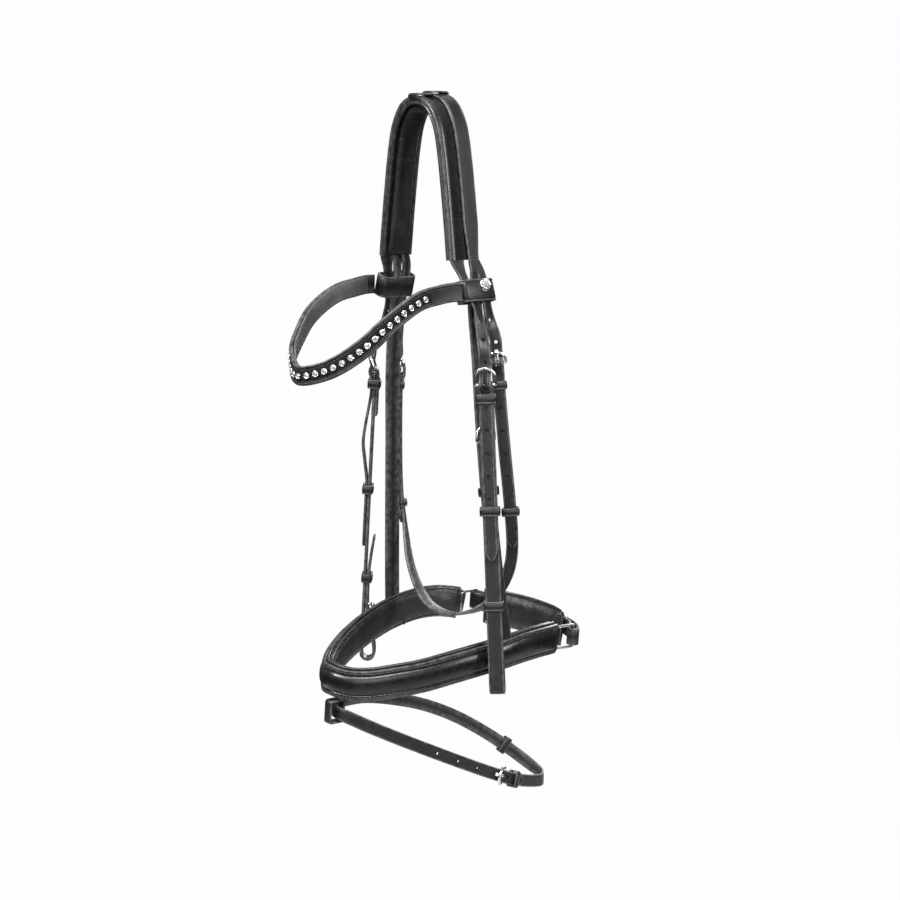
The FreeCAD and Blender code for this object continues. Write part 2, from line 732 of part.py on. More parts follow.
nodes["throatlash_strap"] = throat_strap
for side, place, root, reverse, tip in (
        ("near_", near_throat_place, near_throat_root, False, 184),
        ("off_", off_throat_place, off_throat_root, True, 168)):
    nodes[side + "throat_billet"] = throat_billet(root, place, reverse, tip)
    frame = buckle_frame(throat_inner, throat_side, throat_tilt)
    prong = buckle_prong(throat_inner, throat_side, throat_tilt)
    nodes[side + "throat_buckle_frame"] = seat(frame, place)
    nodes[side + "throat_buckle_prong"] = seat(prong, place)
    nodes[side + "throat_keeper_upper"] = throat_keeper(22, reverse, -1.5, 4.7, 0.2)
    nodes[side + "throat_keeper_lower"] = throat_keeper(148, reverse, -1.5, 4.7,
                                                        throat_slide_clearance)

near_ring = noseband_ring()
nodes["off_noseband_hanger"] = off_hanger
nodes["noseband_leather"] = rolled(noseband_leather)
nodes["noseband_padding"] = rolled(noseband_padding)
nodes["near_noseband_ring"] = rolled(near_ring.copy())
nodes["off_noseband_ring"] = rolled(mirrored(near_ring))
nodes["flash_loop"] = flash_loop()
nodes["chin_pad"] = rolled(chin_pad)
nodes["chin_leather"] = rolled(chin_leather())

hanger_slot = seat(prong_slot, hanger_buckle_place, hanger_buckle_lift)
nodes["near_noseband_hanger"] = near_hanger.fuse(hanger_tail()).cut(hanger_slot)
nodes["noseband_buckle_frame"] = seat(buckle_frame(hanger_inner, hanger_side, hanger_tilt),
                                      hanger_buckle_place, hanger_buckle_lift)
nodes["noseband_buckle_prong"] = seat(buckle_prong(hanger_inner, hanger_side, hanger_tilt),
                                      hanger_buckle_place, hanger_buckle_lift)
nodes["noseband_keeper"] = seat(keeper(hanger_width, -skived / 2, 4.2, keeper_height, 0.25),
                                spot(near_hanger_rows, hanger_buckle_at + 50))
crank_at = back_of_chin(crank_buckle_at)
crank_lift = layer_one + 1.8
crank_slot = seat(prong_slot, crank_at, crank_lift)
nodes["crank_strap"] = rolled(crank_strap().cut(crank_slot))
nodes["crank_buckle_frame"] = rolled(seat(buckle_frame(crank_width + 1, 5.0, flash_tilt),
                                          crank_at, crank_lift))
nodes["crank_buckle_prong"] = rolled(seat(buckle_prong(crank_width + 1, 5.0, flash_tilt),
                                          crank_at, crank_lift))
crank_loop = keeper(crank_width, layer_one - 4, layer_two + skived / 2, keeper_height - 1, 0.3)
crank_loop = crank_loop.cut(box(-20, 20, -20, chin_pad_thickness / 2 + 2 * fit_gap, -20, 20))
nodes["crank_keeper"] = rolled(seat(crank_loop, back_of_chin(crank_buckle_at + 14)))
flash_slot = seat(prong_slot, flash_buckle_place, 0.7)
nodes["flash_strap"] = flash_strap.cut(flash_slot)
nodes["flash_buckle_frame"] = seat(buckle_frame(flash_inner, flash_side, flash_tilt),
                                   flash_buckle_place, 0.7)
nodes["flash_buckle_prong"] = seat(buckle_prong(flash_inner, flash_side, flash_tilt),
                                   flash_buckle_place, 0.7)
near_flash_keeper = seat(keeper(flash_width, -skived / 2 - 0.2, 5.6, 7, 0.5),
                         spot(flash_rows, flash_length - 12))
off_flash_keeper = seat(keeper(flash_width, -skived / 2, skived / 2, 7, 0.8),
                        spot(flash_rows, flash_keeper_at))
nodes["flash_keepers"] = Part.makeCompound([near_flash_keeper, off_flash_keeper])

for name, shape in nodes.items():
    shape.exportStep("parts/" + name + ".step")
    print(name, shape.isValid(), round(shape.Volume))
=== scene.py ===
import math
import json

import bmesh
import bpy
from mathutils import Matrix, Vector, noise


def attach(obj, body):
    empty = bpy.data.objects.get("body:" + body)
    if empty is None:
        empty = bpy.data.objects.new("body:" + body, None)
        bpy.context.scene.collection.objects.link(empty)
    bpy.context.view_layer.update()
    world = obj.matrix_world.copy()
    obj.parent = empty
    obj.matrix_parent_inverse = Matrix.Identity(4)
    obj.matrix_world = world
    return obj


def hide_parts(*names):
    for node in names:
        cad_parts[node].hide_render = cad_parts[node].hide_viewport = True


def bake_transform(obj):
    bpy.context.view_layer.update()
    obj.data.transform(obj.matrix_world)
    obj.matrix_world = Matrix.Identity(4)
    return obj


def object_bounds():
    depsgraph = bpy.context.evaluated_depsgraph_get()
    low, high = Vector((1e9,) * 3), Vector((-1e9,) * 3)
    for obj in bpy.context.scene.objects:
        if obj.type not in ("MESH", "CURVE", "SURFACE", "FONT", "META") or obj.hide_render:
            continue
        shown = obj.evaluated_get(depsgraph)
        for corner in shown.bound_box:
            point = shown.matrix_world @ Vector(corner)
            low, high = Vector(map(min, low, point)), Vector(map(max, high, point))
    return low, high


# The looks of a snaffle bridle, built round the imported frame.  Routes are in millimetres, as in
# the design, and become metres when a mesh is made.  A row of a strap is a centre point, a width
# direction and a width.

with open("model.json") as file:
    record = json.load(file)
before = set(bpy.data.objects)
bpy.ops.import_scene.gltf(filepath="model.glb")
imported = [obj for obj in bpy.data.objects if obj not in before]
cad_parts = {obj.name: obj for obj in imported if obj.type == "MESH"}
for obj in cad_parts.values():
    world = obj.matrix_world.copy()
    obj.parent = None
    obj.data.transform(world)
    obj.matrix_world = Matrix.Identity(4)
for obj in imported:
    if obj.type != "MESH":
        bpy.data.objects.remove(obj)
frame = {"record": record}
cad_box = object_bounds()
body_of = {}
for body, members in frame["record"]["behaviour"]["bodies"].items():
    for member in members:
        body_of[member] = body

MM = 0.001
LEATHER = 3.0
SKIVED = 2.6
HINGE_Z = -196.0
EDGE_ROUND = 0.95
ROLL = Matrix.Rotation(math.radians(5.5), 3, "Y")
ROLL_CENTRE = Vector((0, 0, -540))
HOLE_PITCH = 22.5
HOLE, HOLE_RIM = 1.75, 2.35   # radii of a punched hole and of its pressed rim
END_STEP, END_WIDTH, END_THICK = 0.45, 0.95, 0.6   # a strap's rounded end: its length and shrink
FLOOR_DROP = 0.10
FLOOR_REACH = 0.55
PRONG_WIRE = 1.1
POINT = [(10.2, 12.0), (7, 11.2), (4, 8.6), (1.6, 5.2), (0.3, 2.2)]   # back from a tip, width


# ---- camera, light and floor ----
def placed(name, data):
    made = bpy.data.objects.new(name, data)
    bpy.context.scene.collection.objects.link(made)
    return made


def set_camera():
    azimuth, elevation, distance = math.radians(50), math.radians(8), 2.6
    back = Vector((math.cos(elevation) * math.sin(azimuth),
                   -math.cos(elevation) * math.cos(azimuth), math.sin(elevation)))
    data = bpy.data.cameras.new("camera")
    data.sensor_width = 36
    data.lens = 104
    data.shift_x = 0.0239
    camera = placed("camera", data)
    camera.location = Vector((0, 0, -0.339)) + back * distance
    camera.rotation_euler = (-back).to_track_quat("-Z", "Y").to_euler()
    bpy.context.scene.camera = camera


def soft_light(name, place, aim, size, power):
    data = bpy.data.lights.new(name, "AREA")
    data.shape = "RECTANGLE"
    data.size, data.size_y = size
    data.energy = power
    lamp = placed(name, data)
    lamp.location = place
    lamp.rotation_euler = (Vector(aim) - Vector(place)).to_track_quat("-Z", "Y").to_euler()


def set_studio():
    scene = bpy.context.scene
    scene.view_settings.view_transform = "Standard"
    world = bpy.data.worlds.new("studio")
    scene.world = world
    world.use_nodes = True
    nodes, links = world.node_tree.nodes, world.node_tree.links
    background = nodes["Background"]
    seen = nodes.new("ShaderNodeLightPath")
    dim = nodes.new("ShaderNodeMapRange")
    dim.inputs["To Max"].default_value = 0.985
    sky = nodes.new("ShaderNodeTexCoord")
    height = nodes.new("ShaderNodeSeparateXYZ")
    overhead = nodes.new("ShaderNodeMapRange")
    overhead.inputs["From Min"].default_value = -0.2
    overhead.inputs["To Min"].default_value = 0.04
    overhead.inputs["To Max"].default_value = 0.55
    links.new(sky.outputs["Generated"], height.inputs["Vector"])
    links.new(height.outputs["Z"], overhead.inputs["Value"])
    links.new(overhead.outputs["Result"], dim.inputs["To Min"])
    links.new(seen.outputs["Is Camera Ray"], dim.inputs["Value"])
    links.new(dim.outputs["Result"], background.inputs["Strength"])
    background.inputs["Color"].default_value = (1, 1, 1, 1)
    middle = (0, 0, -0.35)
    soft_light("key", (-0.5, -2.3, 1.5), middle, (0.9, 0.9), 110)
    soft_light("side", (2.7, 0.6, 0.7), middle, (0.8, 1.6), 80)
    soft_light("top", (0.9, -1.3, 2.1), middle, (1.1, 1.1), 75)
    soft_light("rear", (-1.2, 2.4, 0.6), middle, (1.4, 1.4), 45)
    soft_light("fill", (2.5, -2.6, 0.5), middle, (2.0, 2.0), 42)
    floor_z = cad_box[0][2] - FLOOR_DROP
    mesh = bpy.data.meshes.new("floor")
    corners = ((-1, -1), (1, -1), (1, 1), (-1, 1))
    mesh.from_pydata([(x * FLOOR_REACH, y * FLOOR_REACH, floor_z) for x, y in corners], [],
                     [(0, 1, 2, 3)])
    floor = placed("floor", mesh)
    paint, _, shader = surface("pale_floor", 0.9, specular=0.0)
    shader.inputs["Base Color"].default_value = (0.004, 0.004, 0.004, 1)
    shader.inputs["Emission Color"].default_value = (1, 1, 1, 1)
    shader.inputs["Emission Strength"].default_value = 0.975
    floor.data.materials.append(paint)


# ---- materials ----
def surface(name, roughness, metallic=0.0, specular=0.5, coat=0.0, coat_roughness=0.3):
    made = bpy.data.materials.new(name)
    made.use_nodes = True
    tree = made.node_tree
    shader = tree.nodes["Principled BSDF"]
    for socket, value in (("Roughness", roughness), ("Metallic", metallic),
                          ("Specular IOR Level", specular), ("Coat Weight", coat),
                          ("Coat Roughness", coat_roughness)):
        shader.inputs[socket].default_value = value
    return made, tree, shader


def texture(tree, kind, scale, detail=2.0, stretch=(1, 1, 1)):
    """A noise or Voronoi texture in the object's own metres."""
    place = tree.nodes.new("ShaderNodeTexCoord")
    mapping = tree.nodes.new("ShaderNodeMapping")
    mapping.inputs["Scale"].default_value = stretch
    made = tree.nodes.new(kind)
    made.inputs["Scale"].default_value = scale
    if "Detail" in made.inputs:
        made.inputs["Detail"].default_value = detail
    tree.links.new(place.outputs["Object"], mapping.inputs["Vector"])
    tree.links.new(mapping.outputs["Vector"], made.inputs["Vector"])
    return made.outputs[0]


def ramp(tree, value, low, high, start=0.3, stop=0.7):
    made = tree.nodes.new("ShaderNodeMapRange")
    made.inputs["From Min"].default_value = start
    made.inputs["From Max"].default_value = stop
    made.inputs["To Min"].default_value = low
    made.inputs["To Max"].default_value = high
    tree.links.new(value, made.inputs["Value"])
    return made.outputs["Result"]


def blend_colours(tree, factor, one, two):
    made = tree.nodes.new("ShaderNodeMix")
    made.data_type = "RGBA"
    tree.links.new(factor, made.inputs["Factor"])
    for socket, colour in ((made.inputs[6], one), (made.inputs[7], two)):
        if isinstance(colour, tuple):
            socket.default_value = colour + (1,)
        else:
            tree.links.new(colour, socket)
    return made.outputs[2]


def bump(tree, shader, height, strength, distance):
    made = tree.nodes.new("ShaderNodeBump")
    made.inputs["Strength"].default_value = strength
    made.inputs["Distance"].default_value = distance
    tree.links.new(height, made.inputs["Height"])
    tree.links.new(made.outputs["Normal"], shader.inputs["Normal"])


def add(tree, one, two, weight):
    made = tree.nodes.new("ShaderNodeMath")
    made.operation = "MULTIPLY_ADD"
    made.inputs[1].default_value = weight
    tree.links.new(two, made.inputs[0])
    tree.links.new(one, made.inputs[2])
    return made.outputs[0]


def leather(name, dark, pale, roughness, grain, grain_scale=1100.0, wear_and_painted_highlight=0.05, coat=0.0):
    """Dyed leather: pebbled grain, uneven dye, and edges painted paler: partly wear, partly a
    painted highlight where rounded edges and rims catch the light.
    """
    made, tree, shader = surface(name, roughness, specular=0.45, coat=coat)
    dye = texture(tree, "ShaderNodeTexNoise", 70.0, 5.0)
    colour = blend_colours(tree, ramp(tree, dye, 0, 1), dark, pale)
    edge = tree.nodes.new("ShaderNodeAttribute")
    edge.attribute_name = "wear_and_painted_highlight"
    rub_and_highlight_mask = tree.nodes.new("ShaderNodeMath")
    rub_and_highlight_mask.operation = "MULTIPLY"
    tree.links.new(edge.outputs["Fac"], rub_and_highlight_mask.inputs[0])
    patches = texture(tree, "ShaderNodeTexNoise", 160.0, 3.0)
    tree.links.new(ramp(tree, patches, 0.25, 1.0, 0.35, 0.62), rub_and_highlight_mask.inputs[1])
    # Edges and raised rims blend towards a paler grey here: partly wear, partly a painted
    # highlight.
    colour = blend_colours(tree, rub_and_highlight_mask.outputs[0], colour, (wear_and_painted_highlight, wear_and_painted_highlight, wear_and_painted_highlight * 1.02))
    tree.links.new(colour, shader.inputs["Base Color"])
    shine = texture(tree, "ShaderNodeTexNoise", 240.0, 4.0)
    rough = ramp(tree, shine, roughness - 0.07, roughness + 0.09)
    tree.links.new(rough, shader.inputs["Roughness"])
    pebble = texture(tree, "ShaderNodeTexVoronoi", grain_scale)
    fine = texture(tree, "ShaderNodeTexNoise", grain_scale * 2.1, 3.0)
    bump(tree, shader, add(tree, pebble, fine, 0.6), grain, 0.0004)
    return made


def metal(name, colour, roughness):
    """Polished metal with faint rubbed patches and hairline scratches."""
    made, tree, shader = surface(name, roughness, metallic=1.0)
    patches = texture(tree, "ShaderNodeTexNoise", 260.0, 4.0)
    dull = tuple(c * 0.82 for c in colour)
    tree.links.new(blend_colours(tree, ramp(tree, patches, 0, 1), dull, colour),
                   shader.inputs["Base Color"])
    tree.links.new(ramp(tree, patches, roughness, roughness + 0.10),
                   shader.inputs["Roughness"])
    scratches = texture(tree, "ShaderNodeTexNoise", 900.0, 2.0, (1, 1, 9))
    bump(tree, shader, scratches, 0.06, 0.0002)
    return made


def thread():
    """Waxed twisted thread."""
    made, tree, shader = surface("waxed_thread", 0.5)
    twist = texture(tree, "ShaderNodeTexWave", 1500.0)
    tree.links.new(blend_colours(tree, twist, (0.02, 0.02, 0.021), (0.13, 0.13, 0.135)),
                   shader.inputs["Base Color"])
    bump(tree, shader, twist, 0.5, 0.0002)
    return made


def cut_glass():
    """Foil-backed cut glass: bright facets over a silvered back."""
    made, tree, shader = surface("foiled_glass", 0.04, metallic=0.75, coat=1.0,
                                 coat_roughness=0.02)
    spread = texture(tree, "ShaderNodeTexNoise", 420.0, 2.0)
    tree.links.new(blend_colours(tree, ramp(tree, spread, 0, 1, 0.4, 0.6),
                                 (0.62, 0.64, 0.67), (0.96, 0.97, 0.98)),
                   shader.inputs["Base Color"])
    return made


def velvet():
    """Matt inlay that holds the stones."""
    made, tree, shader = surface("matt_inlay", 0.85, specular=0.15)
    fibres = texture(tree, "ShaderNodeTexNoise", 2600.0, 2.0)
    tree.links.new(blend_colours(tree, fibres, (0.003, 0.003, 0.003), (0.014, 0.014, 0.015)),
                   shader.inputs["Base Color"])
    bump(tree, shader, fibres, 0.6, 0.0003)
    return made


# The worn values set the paler edge colour of each leather: partly wear, partly a painted
# highlight.
BRIDLE = leather("bridle_leather", (0.002, 0.002, 0.0022), (0.008, 0.008, 0.0088), 0.37, 0.20,
                 wear_and_painted_highlight=0.09)
SMOOTH = leather("smooth_leather", (0.0015, 0.0015, 0.0017), (0.006, 0.006, 0.0066), 0.28, 0.10,
                 wear_and_painted_highlight=0.06, coat=0.12)
SOFT = leather("soft_leather", (0.004, 0.004, 0.0045), (0.014, 0.014, 0.015), 0.42, 0.40,
               800.0, wear_and_painted_highlight=0.05)
LINING = leather("lining_leather", (0.030, 0.030, 0.032), (0.070, 0.070, 0.073), 0.55, 0.45,
                 700.0, wear_and_painted_highlight=0.09)
STEEL = metal("polished_steel", (0.80, 0.80, 0.79), 0.14)
SILVER = metal("silver_plate", (0.86, 0.86, 0.86), 0.18)
THREAD = thread()
GLASS = cut_glass()
INLAY = velvet()


# ---- routes ----
def smooth(rows, steps):
    """Rows on a smooth curve through every given row."""
    out = []
    last = len(rows) - 1
    for i in range(last):
        four = (rows[max(i - 1, 0)], rows[i], rows[i + 1], rows[min(i + 2, last)])
        for k in range(steps):
            u = k / steps
            row = []
            for a, b, c, d in zip(*four):
                bend = (2 * a - 5 * b + 4 * c - d) * u + (3 * b - a - 3 * c + d) * u * u
                row.append(b + 0.5 * u * (c - a + bend))
            out.append(tuple(row))
    out.append(tuple(rows[last]))
    return out


def axes(rows, i):
    """Centre and the three directions of a strap at one of its rows: along, across and out."""
    centre = Vector(rows[i][0:3])
    along = Vector(rows[min(i + 1, len(rows) - 1)][0:3]) - Vector(rows[max(i - 1, 0)][0:3])
    along.normalize()
    across = Vector(rows[i][3:6])
    across -= along * across.dot(along)
    across.normalize()
    return centre, along, across, along.cross(across)


def spot(rows, distance):
    """Centre, along, across and out at a distance along a strap."""
    done = 0.0
    for i in range(len(rows) - 1):
        start = Vector(rows[i][0:3])
        step = Vector(rows[i + 1][0:3]) - start
        if done + step.length >= distance or i == len(rows) - 2:
            _, along, across, out = axes(rows, i)
            return start + step * ((distance - done) / step.length), along, across, out
        done += step.length


def length_of(rows):
    return sum((Vector(b[0:3]) - Vector(a[0:3])).length for a, b in zip(rows, rows[1:]))


def width_at(rows, distance):
    done = 0.0
    for a, b in zip(rows, rows[1:]):
        done += (Vector(b[0:3]) - Vector(a[0:3])).length
        if done >= distance:
            return b[6]
    return rows[-1][6]


def point_on(place, x, y, z):
    centre, along, across, out = place
    return centre + across * x + out * y + along * z


def turned(place):
    """The same spot with the strap running the other way, still facing out."""
    centre, along, across, out = place
    return centre, -along, -across, out


def shifted(place, x, y, z):
    """The same spot moved across, out and along."""
    return (point_on(place, x, y, z),) + tuple(place[1:])


def lifted(place, lift):
    return shifted(place, 0, lift, 0)


def row_at(place, y, z, *sizes):
    """A strap's row, y out from a spot and z further along."""
    return tuple(point_on(place, 0, y, z)) + tuple(place[2]) + sizes


def with_width(rows, width):
    return [row[:6] + (width,) for row in rows]


def hanging(points):
    """Rows of a hanging strap from x, y, z, facing angle and width; 0 degrees faces +X."""
    return [(x, y, z, math.sin(math.radians(turn)), math.cos(math.radians(turn)), 0, width)
            for x, y, z, turn, width in points]


def banded(points, width):
    return [tuple(p) + (0, 0, -1, width) for p in points]


def both_ways(points):
    """A route across the horse, from its near half to its mirror image."""
    return points + [(-p[0],) + tuple(p[1:]) for p in reversed(points[:-1])]


def rolled(rows):
    """The noseband hangs lower on the near side: turn its rows about its middle."""
    out = []
    for row in rows:
        centre = ROLL @ (Vector(row[0:3]) - ROLL_CENTRE) + ROLL_CENTRE
        out.append(tuple(centre) + tuple(ROLL @ Vector(row[3:6])) + tuple(row[6:]))
    return out


def rolled_point(point):
    return ROLL @ (Vector(point) - ROLL_CENTRE) + ROLL_CENTRE


def rolled_place(place):
    return (rolled_point(place[0]),) + tuple(ROLL @ axis for axis in place[1:])


def mirrored_rows(rows):
    """The same strap on the off side, facing out there too."""
    return [(-r[0], r[1], r[2], r[3], -r[4], -r[5]) + tuple(r[6:]) for r in rows]


def mirrored_place(place):
    """The off-side copy of a near-side spot."""
    flip = Matrix.Diagonal((-1, 1, 1))
    centre, along, across, out = place
    return flip @ centre, flip @ along, -(flip @ across), flip @ out


def moved(rows, lift):
    """The rows shifted outward, as for a second layer."""
    out = []
    for i, row in enumerate(rows):
        centre, _, _, face = axes(rows, i)
        out.append(tuple(centre + face * lift) + tuple(row[3:]))
    return out


def part_of(rows, start, end, pitch=3.0):
    """Even rows between two distances along a strap."""
    count = max(2, int((end - start) / pitch))
    out = []
    for i in range(count + 1):
        d = start + (end - start) * i / count
        centre, _, across, _ = spot(rows, d)
        out.append(tuple(centre) + tuple(across) + (width_at(rows, d),))
    return out


def edge_line(rows, side, inset, lift):
    """Points along one edge of a strap."""
    line = []
    for i, row in enumerate(rows):
        centre, _, across, out = axes(rows, i)
        line.append(centre + across * side * (row[6] / 2 - inset) + out * lift)
    return line


def circle(sides, first=0.0):
    return [math.tau * k / sides + first for k in range(sides)]


# ---- mesh work ----
def loft(bm, rings, wear_and_painted_highlight=None, closed=False):
    """Skin rings of corners, in millimetres, into the mesh."""
    # Each corner keeps how much paler it is painted: partly wear, partly a painted highlight.
    layer = bm.verts.layers.float.get("wear_and_painted_highlight") or bm.verts.layers.float.new("wear_and_painted_highlight")
    table = []
    for i, ring in enumerate(rings):
        made = []
        for k, corner in enumerate(ring):
            vert = bm.verts.new(corner * MM)
            vert[layer] = wear_and_painted_highlight[i][k] if wear_and_painted_highlight else 0.0
            made.append(vert)
        table.append(made)
    sides = len(rings[0])
    for i in range(len(rings) if closed else len(rings) - 1):
        a, b = table[i], table[(i + 1) % len(rings)]
        for k in range(sides):
            m = (k + 1) % sides
            bm.faces.new((a[k], a[m], b[m], b[k]))
    if not closed:
        bm.faces.new(list(reversed(table[0])))
        bm.faces.new(table[-1])


def placed_mesh(name, bm):
    bmesh.ops.recalc_face_normals(bm, faces=bm.faces)
    mesh = bpy.data.meshes.new(name)
    bm.to_mesh(mesh)
    bm.free()
    return placed(name, mesh)


def piece(name, bm, material, sharp=38.0):
    made = placed_mesh(name, bm)
    made.data.materials.append(material)
    soften(made, sharp)
    return made


def soften(made, sharp=38.0):
    for face in made.data.polygons:
        face.use_smooth = True
    made.data.set_sharp_from_angle(angle=math.radians(sharp))


def stand_for(made, slot, *nodes, body=None):
    """The piece takes these nodes' place and rides on their body; slot is not used."""
    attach(made, body or body_of[nodes[0]])
    if nodes:
        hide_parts(*nodes)


# Shapes of a strap's face, from its edge to its middle: distance in, height, and paleness (partly
# wear, partly painted highlight).
PLAIN = ([(2.2, 0, 0)], 0.0)
CREASED = ([(1.5, 0, 0.5), (2.0, -0.4, 0), (2.5, 0, 0.1)], 0.0)
RIMMED = ([(1.0, 0.7, 0.4), (1.8, 0.9, 0.3), (2.6, 0.6, 0.2), (3.1, -0.3, 0), (4.2, -0.4, 0)],
          -0.4)
CORDED = ([(1.2, 0.7, 0.3), (2.2, 1.1, 0.2), (3.4, 0.6, 0.2), (4.2, -0.5, 0), (5.4, 0, 0.2),
           (8.4, 0.2, 0.1), (9.2, -0.3, 0)], 0.1)
RAISED = ([(2.0, 0.1, 0.5), (4.6, 0.1, 0.1), (5.4, -0.6, 0), (6.2, 0.3, 0), (7.6, 1.2, 0.1),
           (9.6, 1.9, 0.1), (12.0, 2.3, 0)], 2.4)
PANEL = ([(2.0, 0.1, 0.5), (3.4, 0.1, 0.1), (4.1, -0.5, 0), (4.9, 0.3, 0), (6.6, 1.0, 0.1),
          (9.2, 1.5, 0.1), (12.0, 1.8, 0)], 1.9)


def section(width, thickness, shape, middle):
    """Closed outline of a strap's cross-section: x across, y out, and how much paler it is painted
    there, partly as wear and partly as a painted highlight.
    """
    half, t = width / 2, thickness / 2
    r = min(EDGE_ROUND, t * 0.8, half * 0.4)
    quarter = [math.radians(a) for a in (0, 30, 60, 90)]
    fit = min(1.0, half * 0.9 / shape[-1][0])
    left = [(-half + r - r * math.cos(a), t - r + r * math.sin(a), 1.0) for a in quarter]
    left += [(-half + d * fit, t + h * fit, w) for d, h, w in shape]
    corner = [(half - r + r * math.cos(a), r - t - r * math.sin(a), 1.0) for a in quarter]
    outline = left + [(0.0, t + middle * fit, 0.0)]
    outline += [(-x, y, w) for x, y, w in reversed(left)] + corner + [(0.0, -t, 0.0)]
    return outline + [(-x, y, w) for x, y, w in reversed(corner)]


def mixed(one, two, share):
    """A face shape part-way between two with as many points."""
    points = [tuple(a + (b - a) * share for a, b in zip(p, q)) for p, q in zip(one[0], two[0])]
    return points, one[1] + (two[1] - one[1]) * share


def strap_mesh(bm, rows, thickness, face, lift):
    rings, marks = [], []

    def ring(place, width, thick, shape, middle):
        centre, across, out = place
        outline = section(width, thick, shape, middle)
        rings.append([centre + across * x + out * (lift + y) for x, y, _ in outline])
        marks.append([w for _, _, w in outline])

    last = len(rows) - 1
    for i, row in enumerate(rows):
        centre, along, across, out = axes(rows, i)
        shape, middle = face(i / last) if callable(face) else face
        thick = row[7] if len(row) > 7 else thickness
        slim = [(d, h * 0.3, w) for d, h, w in shape]
        end = (row[6] * END_WIDTH, thick * END_THICK, slim, 0)
        if i == 0:
            ring((centre - along * END_STEP, across, out), *end)
        ring((centre, across, out), row[6], thick, shape, middle)
        if i == last:
            ring((centre + along * END_STEP, across, out), *end)
    loft(bm, rings, marks)


def strap(name, rows, thickness, material=BRIDLE, face=CREASED, lift=0.0, holes=(),
          slots=()):
    bm = bmesh.new()
    strap_mesh(bm, rows, thickness, face, lift)
    made = piece(name, bm, material)
    if holes or slots:
        punch(made, rows, holes, slots, thickness, lift)
    return made


def apply_modifiers(made):
    graph = bpy.context.evaluated_depsgraph_get()
    graph.update()
    mesh = bpy.data.meshes.new_from_object(made.evaluated_get(graph))
    made.modifiers.clear()
    made.data = mesh


def punch(made, rows, holes, slots, thickness, lift):
    """Punch round holes with a pressed rim, and cut slots given as places and boxes."""
    bm = bmesh.new()
    top = lift + thickness / 2
    profile = [(HOLE, top - 9), (HOLE, top - 0.7), (HOLE_RIM, top + 0.15), (HOLE_RIM, top + 4)]
    for distance in holes:
        loft(bm, turned_rings(spot(rows, distance), profile, 14))
    for place, (x0, x1, y0, y1, z0, z1) in slots:
        loft(bm, [[point_on(place, x, y, z)
                   for x, y in ((x0, y0), (x1, y0), (x1, y1), (x0, y1))] for z in (z0, z1)])
    cutter = placed_mesh("cutter", bm)
    cut = made.modifiers.new("cut", "BOOLEAN")
    cut.operation = "DIFFERENCE"
    cut.solver = "EXACT"
    cut.use_self = True
    cut.object = cutter
    apply_modifiers(made)
    bpy.data.objects.remove(cutter)
    soften(made)


def tube_mesh(bm, line, radius, closed=False, sides=10):
    """A round wire or piping along a line of points."""
    points = [Vector(p) for p in line]
    count = len(points)
    rings = []
    normal = None
    for i in range(count):
        before = points[i - 1] if closed or i else points[i]
        after = points[(i + 1) % count] if closed or i < count - 1 else points[i]
        along = (after - before).normalized()
        if normal is None:
            normal = along.orthogonal().normalized()
        normal = (normal - along * normal.dot(along)).normalized()
        side = along.cross(normal)
        size = radius(i) if callable(radius) else radius
        rings.append([points[i] + (normal * math.cos(a) + side * math.sin(a)) * size
                      for a in circle(sides)])
    # Every ring of a tube is marked 0.6 for the paler edge colour: partly wear, partly a painted
    # highlight.
    loft(bm, rings, [[0.6] * sides for _ in rings], closed)


def tubes(name, lines, radius, material, closed=False, sides=10):
    bm = bmesh.new()
    for line in lines:
        tube_mesh(bm, line, radius, closed, sides)
    return piece(name, bm, material)


def stitches(bm, rows, inset, lift, start, end, sides=(-1, 1), pitch=3.3):
    """Rows of stitches, each a short spindle of thread, along a strap's edges."""
    count = max(1, int((end - start) / pitch))
    for i in range(count):
        d = start + (i + 0.5) * (end - start) / count
        place = spot(rows, d)
        for side in sides:
            stitch(bm, place, side * (width_at(rows, d) / 2 - inset), lift, pitch * 0.36)


def stitch(bm, place, x, y, half):
    rings = []
    for z, radius in ((-half, 0.08), (-half * 0.55, 0.36), (half * 0.55, 0.36), (half, 0.08)):
        rings.append([point_on(place, x + radius * math.cos(a), y + radius * math.sin(a) * 0.8, z)
                      for a in circle(6)])
    loft(bm, rings)


def cross_stitches(bm, place, width, lift, pitch=2.6):
    """A line of stitches across a strap."""
    centre, along, across, out = place
    sideways = (centre, across, -along, out)
    count = int(width / pitch)
    for i in range(count):
        stitch(bm, (centre + across * ((i + 0.5) * pitch - count * pitch / 2),) + sideways[1:],
               0, lift, pitch * 0.36)


def loop_rows(place, width, low, high, height, clearance, corner=1.6):
    """Closed rows round a strap, for a keeper: it stands clearance off the strap."""
    half = width / 2 + clearance + 0.9
    low, high = low - clearance - 0.9, high + clearance + 0.9
    corner = min(corner, (high - low) * 0.45)
    rows = []
    for cx, cy, first in ((half - corner, high - corner, 0), (-half + corner, high - corner, 90),
                          (-half + corner, low + corner, 180), (half - corner, low + corner, 270)):
        for step in range(4):
            a = math.radians(first + step * 30)
            point = point_on(place, cx + corner * math.cos(a), cy + corner * math.sin(a), 0)
            rows.append(tuple(point) + tuple(place[1]) + (height,))
    return rows


def closed_strap_mesh(bm, rows, thickness, face=PLAIN):
    """A band joined end to end, such as a keeper; its outside is the face."""
    rings, marks = [], []
    count = len(rows)
    middle = sum((Vector(r[0:3]) for r in rows), Vector()) / count
    for i, row in enumerate(rows):
        centre = Vector(row[0:3])
        along = (Vector(rows[(i + 1) % count][0:3]) - Vector(rows[i - 1][0:3])).normalized()
        across = Vector(row[3:6]).normalized()
        out = along.cross(across)
        if out.dot(centre - middle) < 0:
            out = -out
        outline = section(row[6], thickness, *face)
        rings.append([centre + across * x + out * y for x, y, _ in outline])
        marks.append([w for _, _, w in outline])
    loft(bm, rings, marks, closed=True)


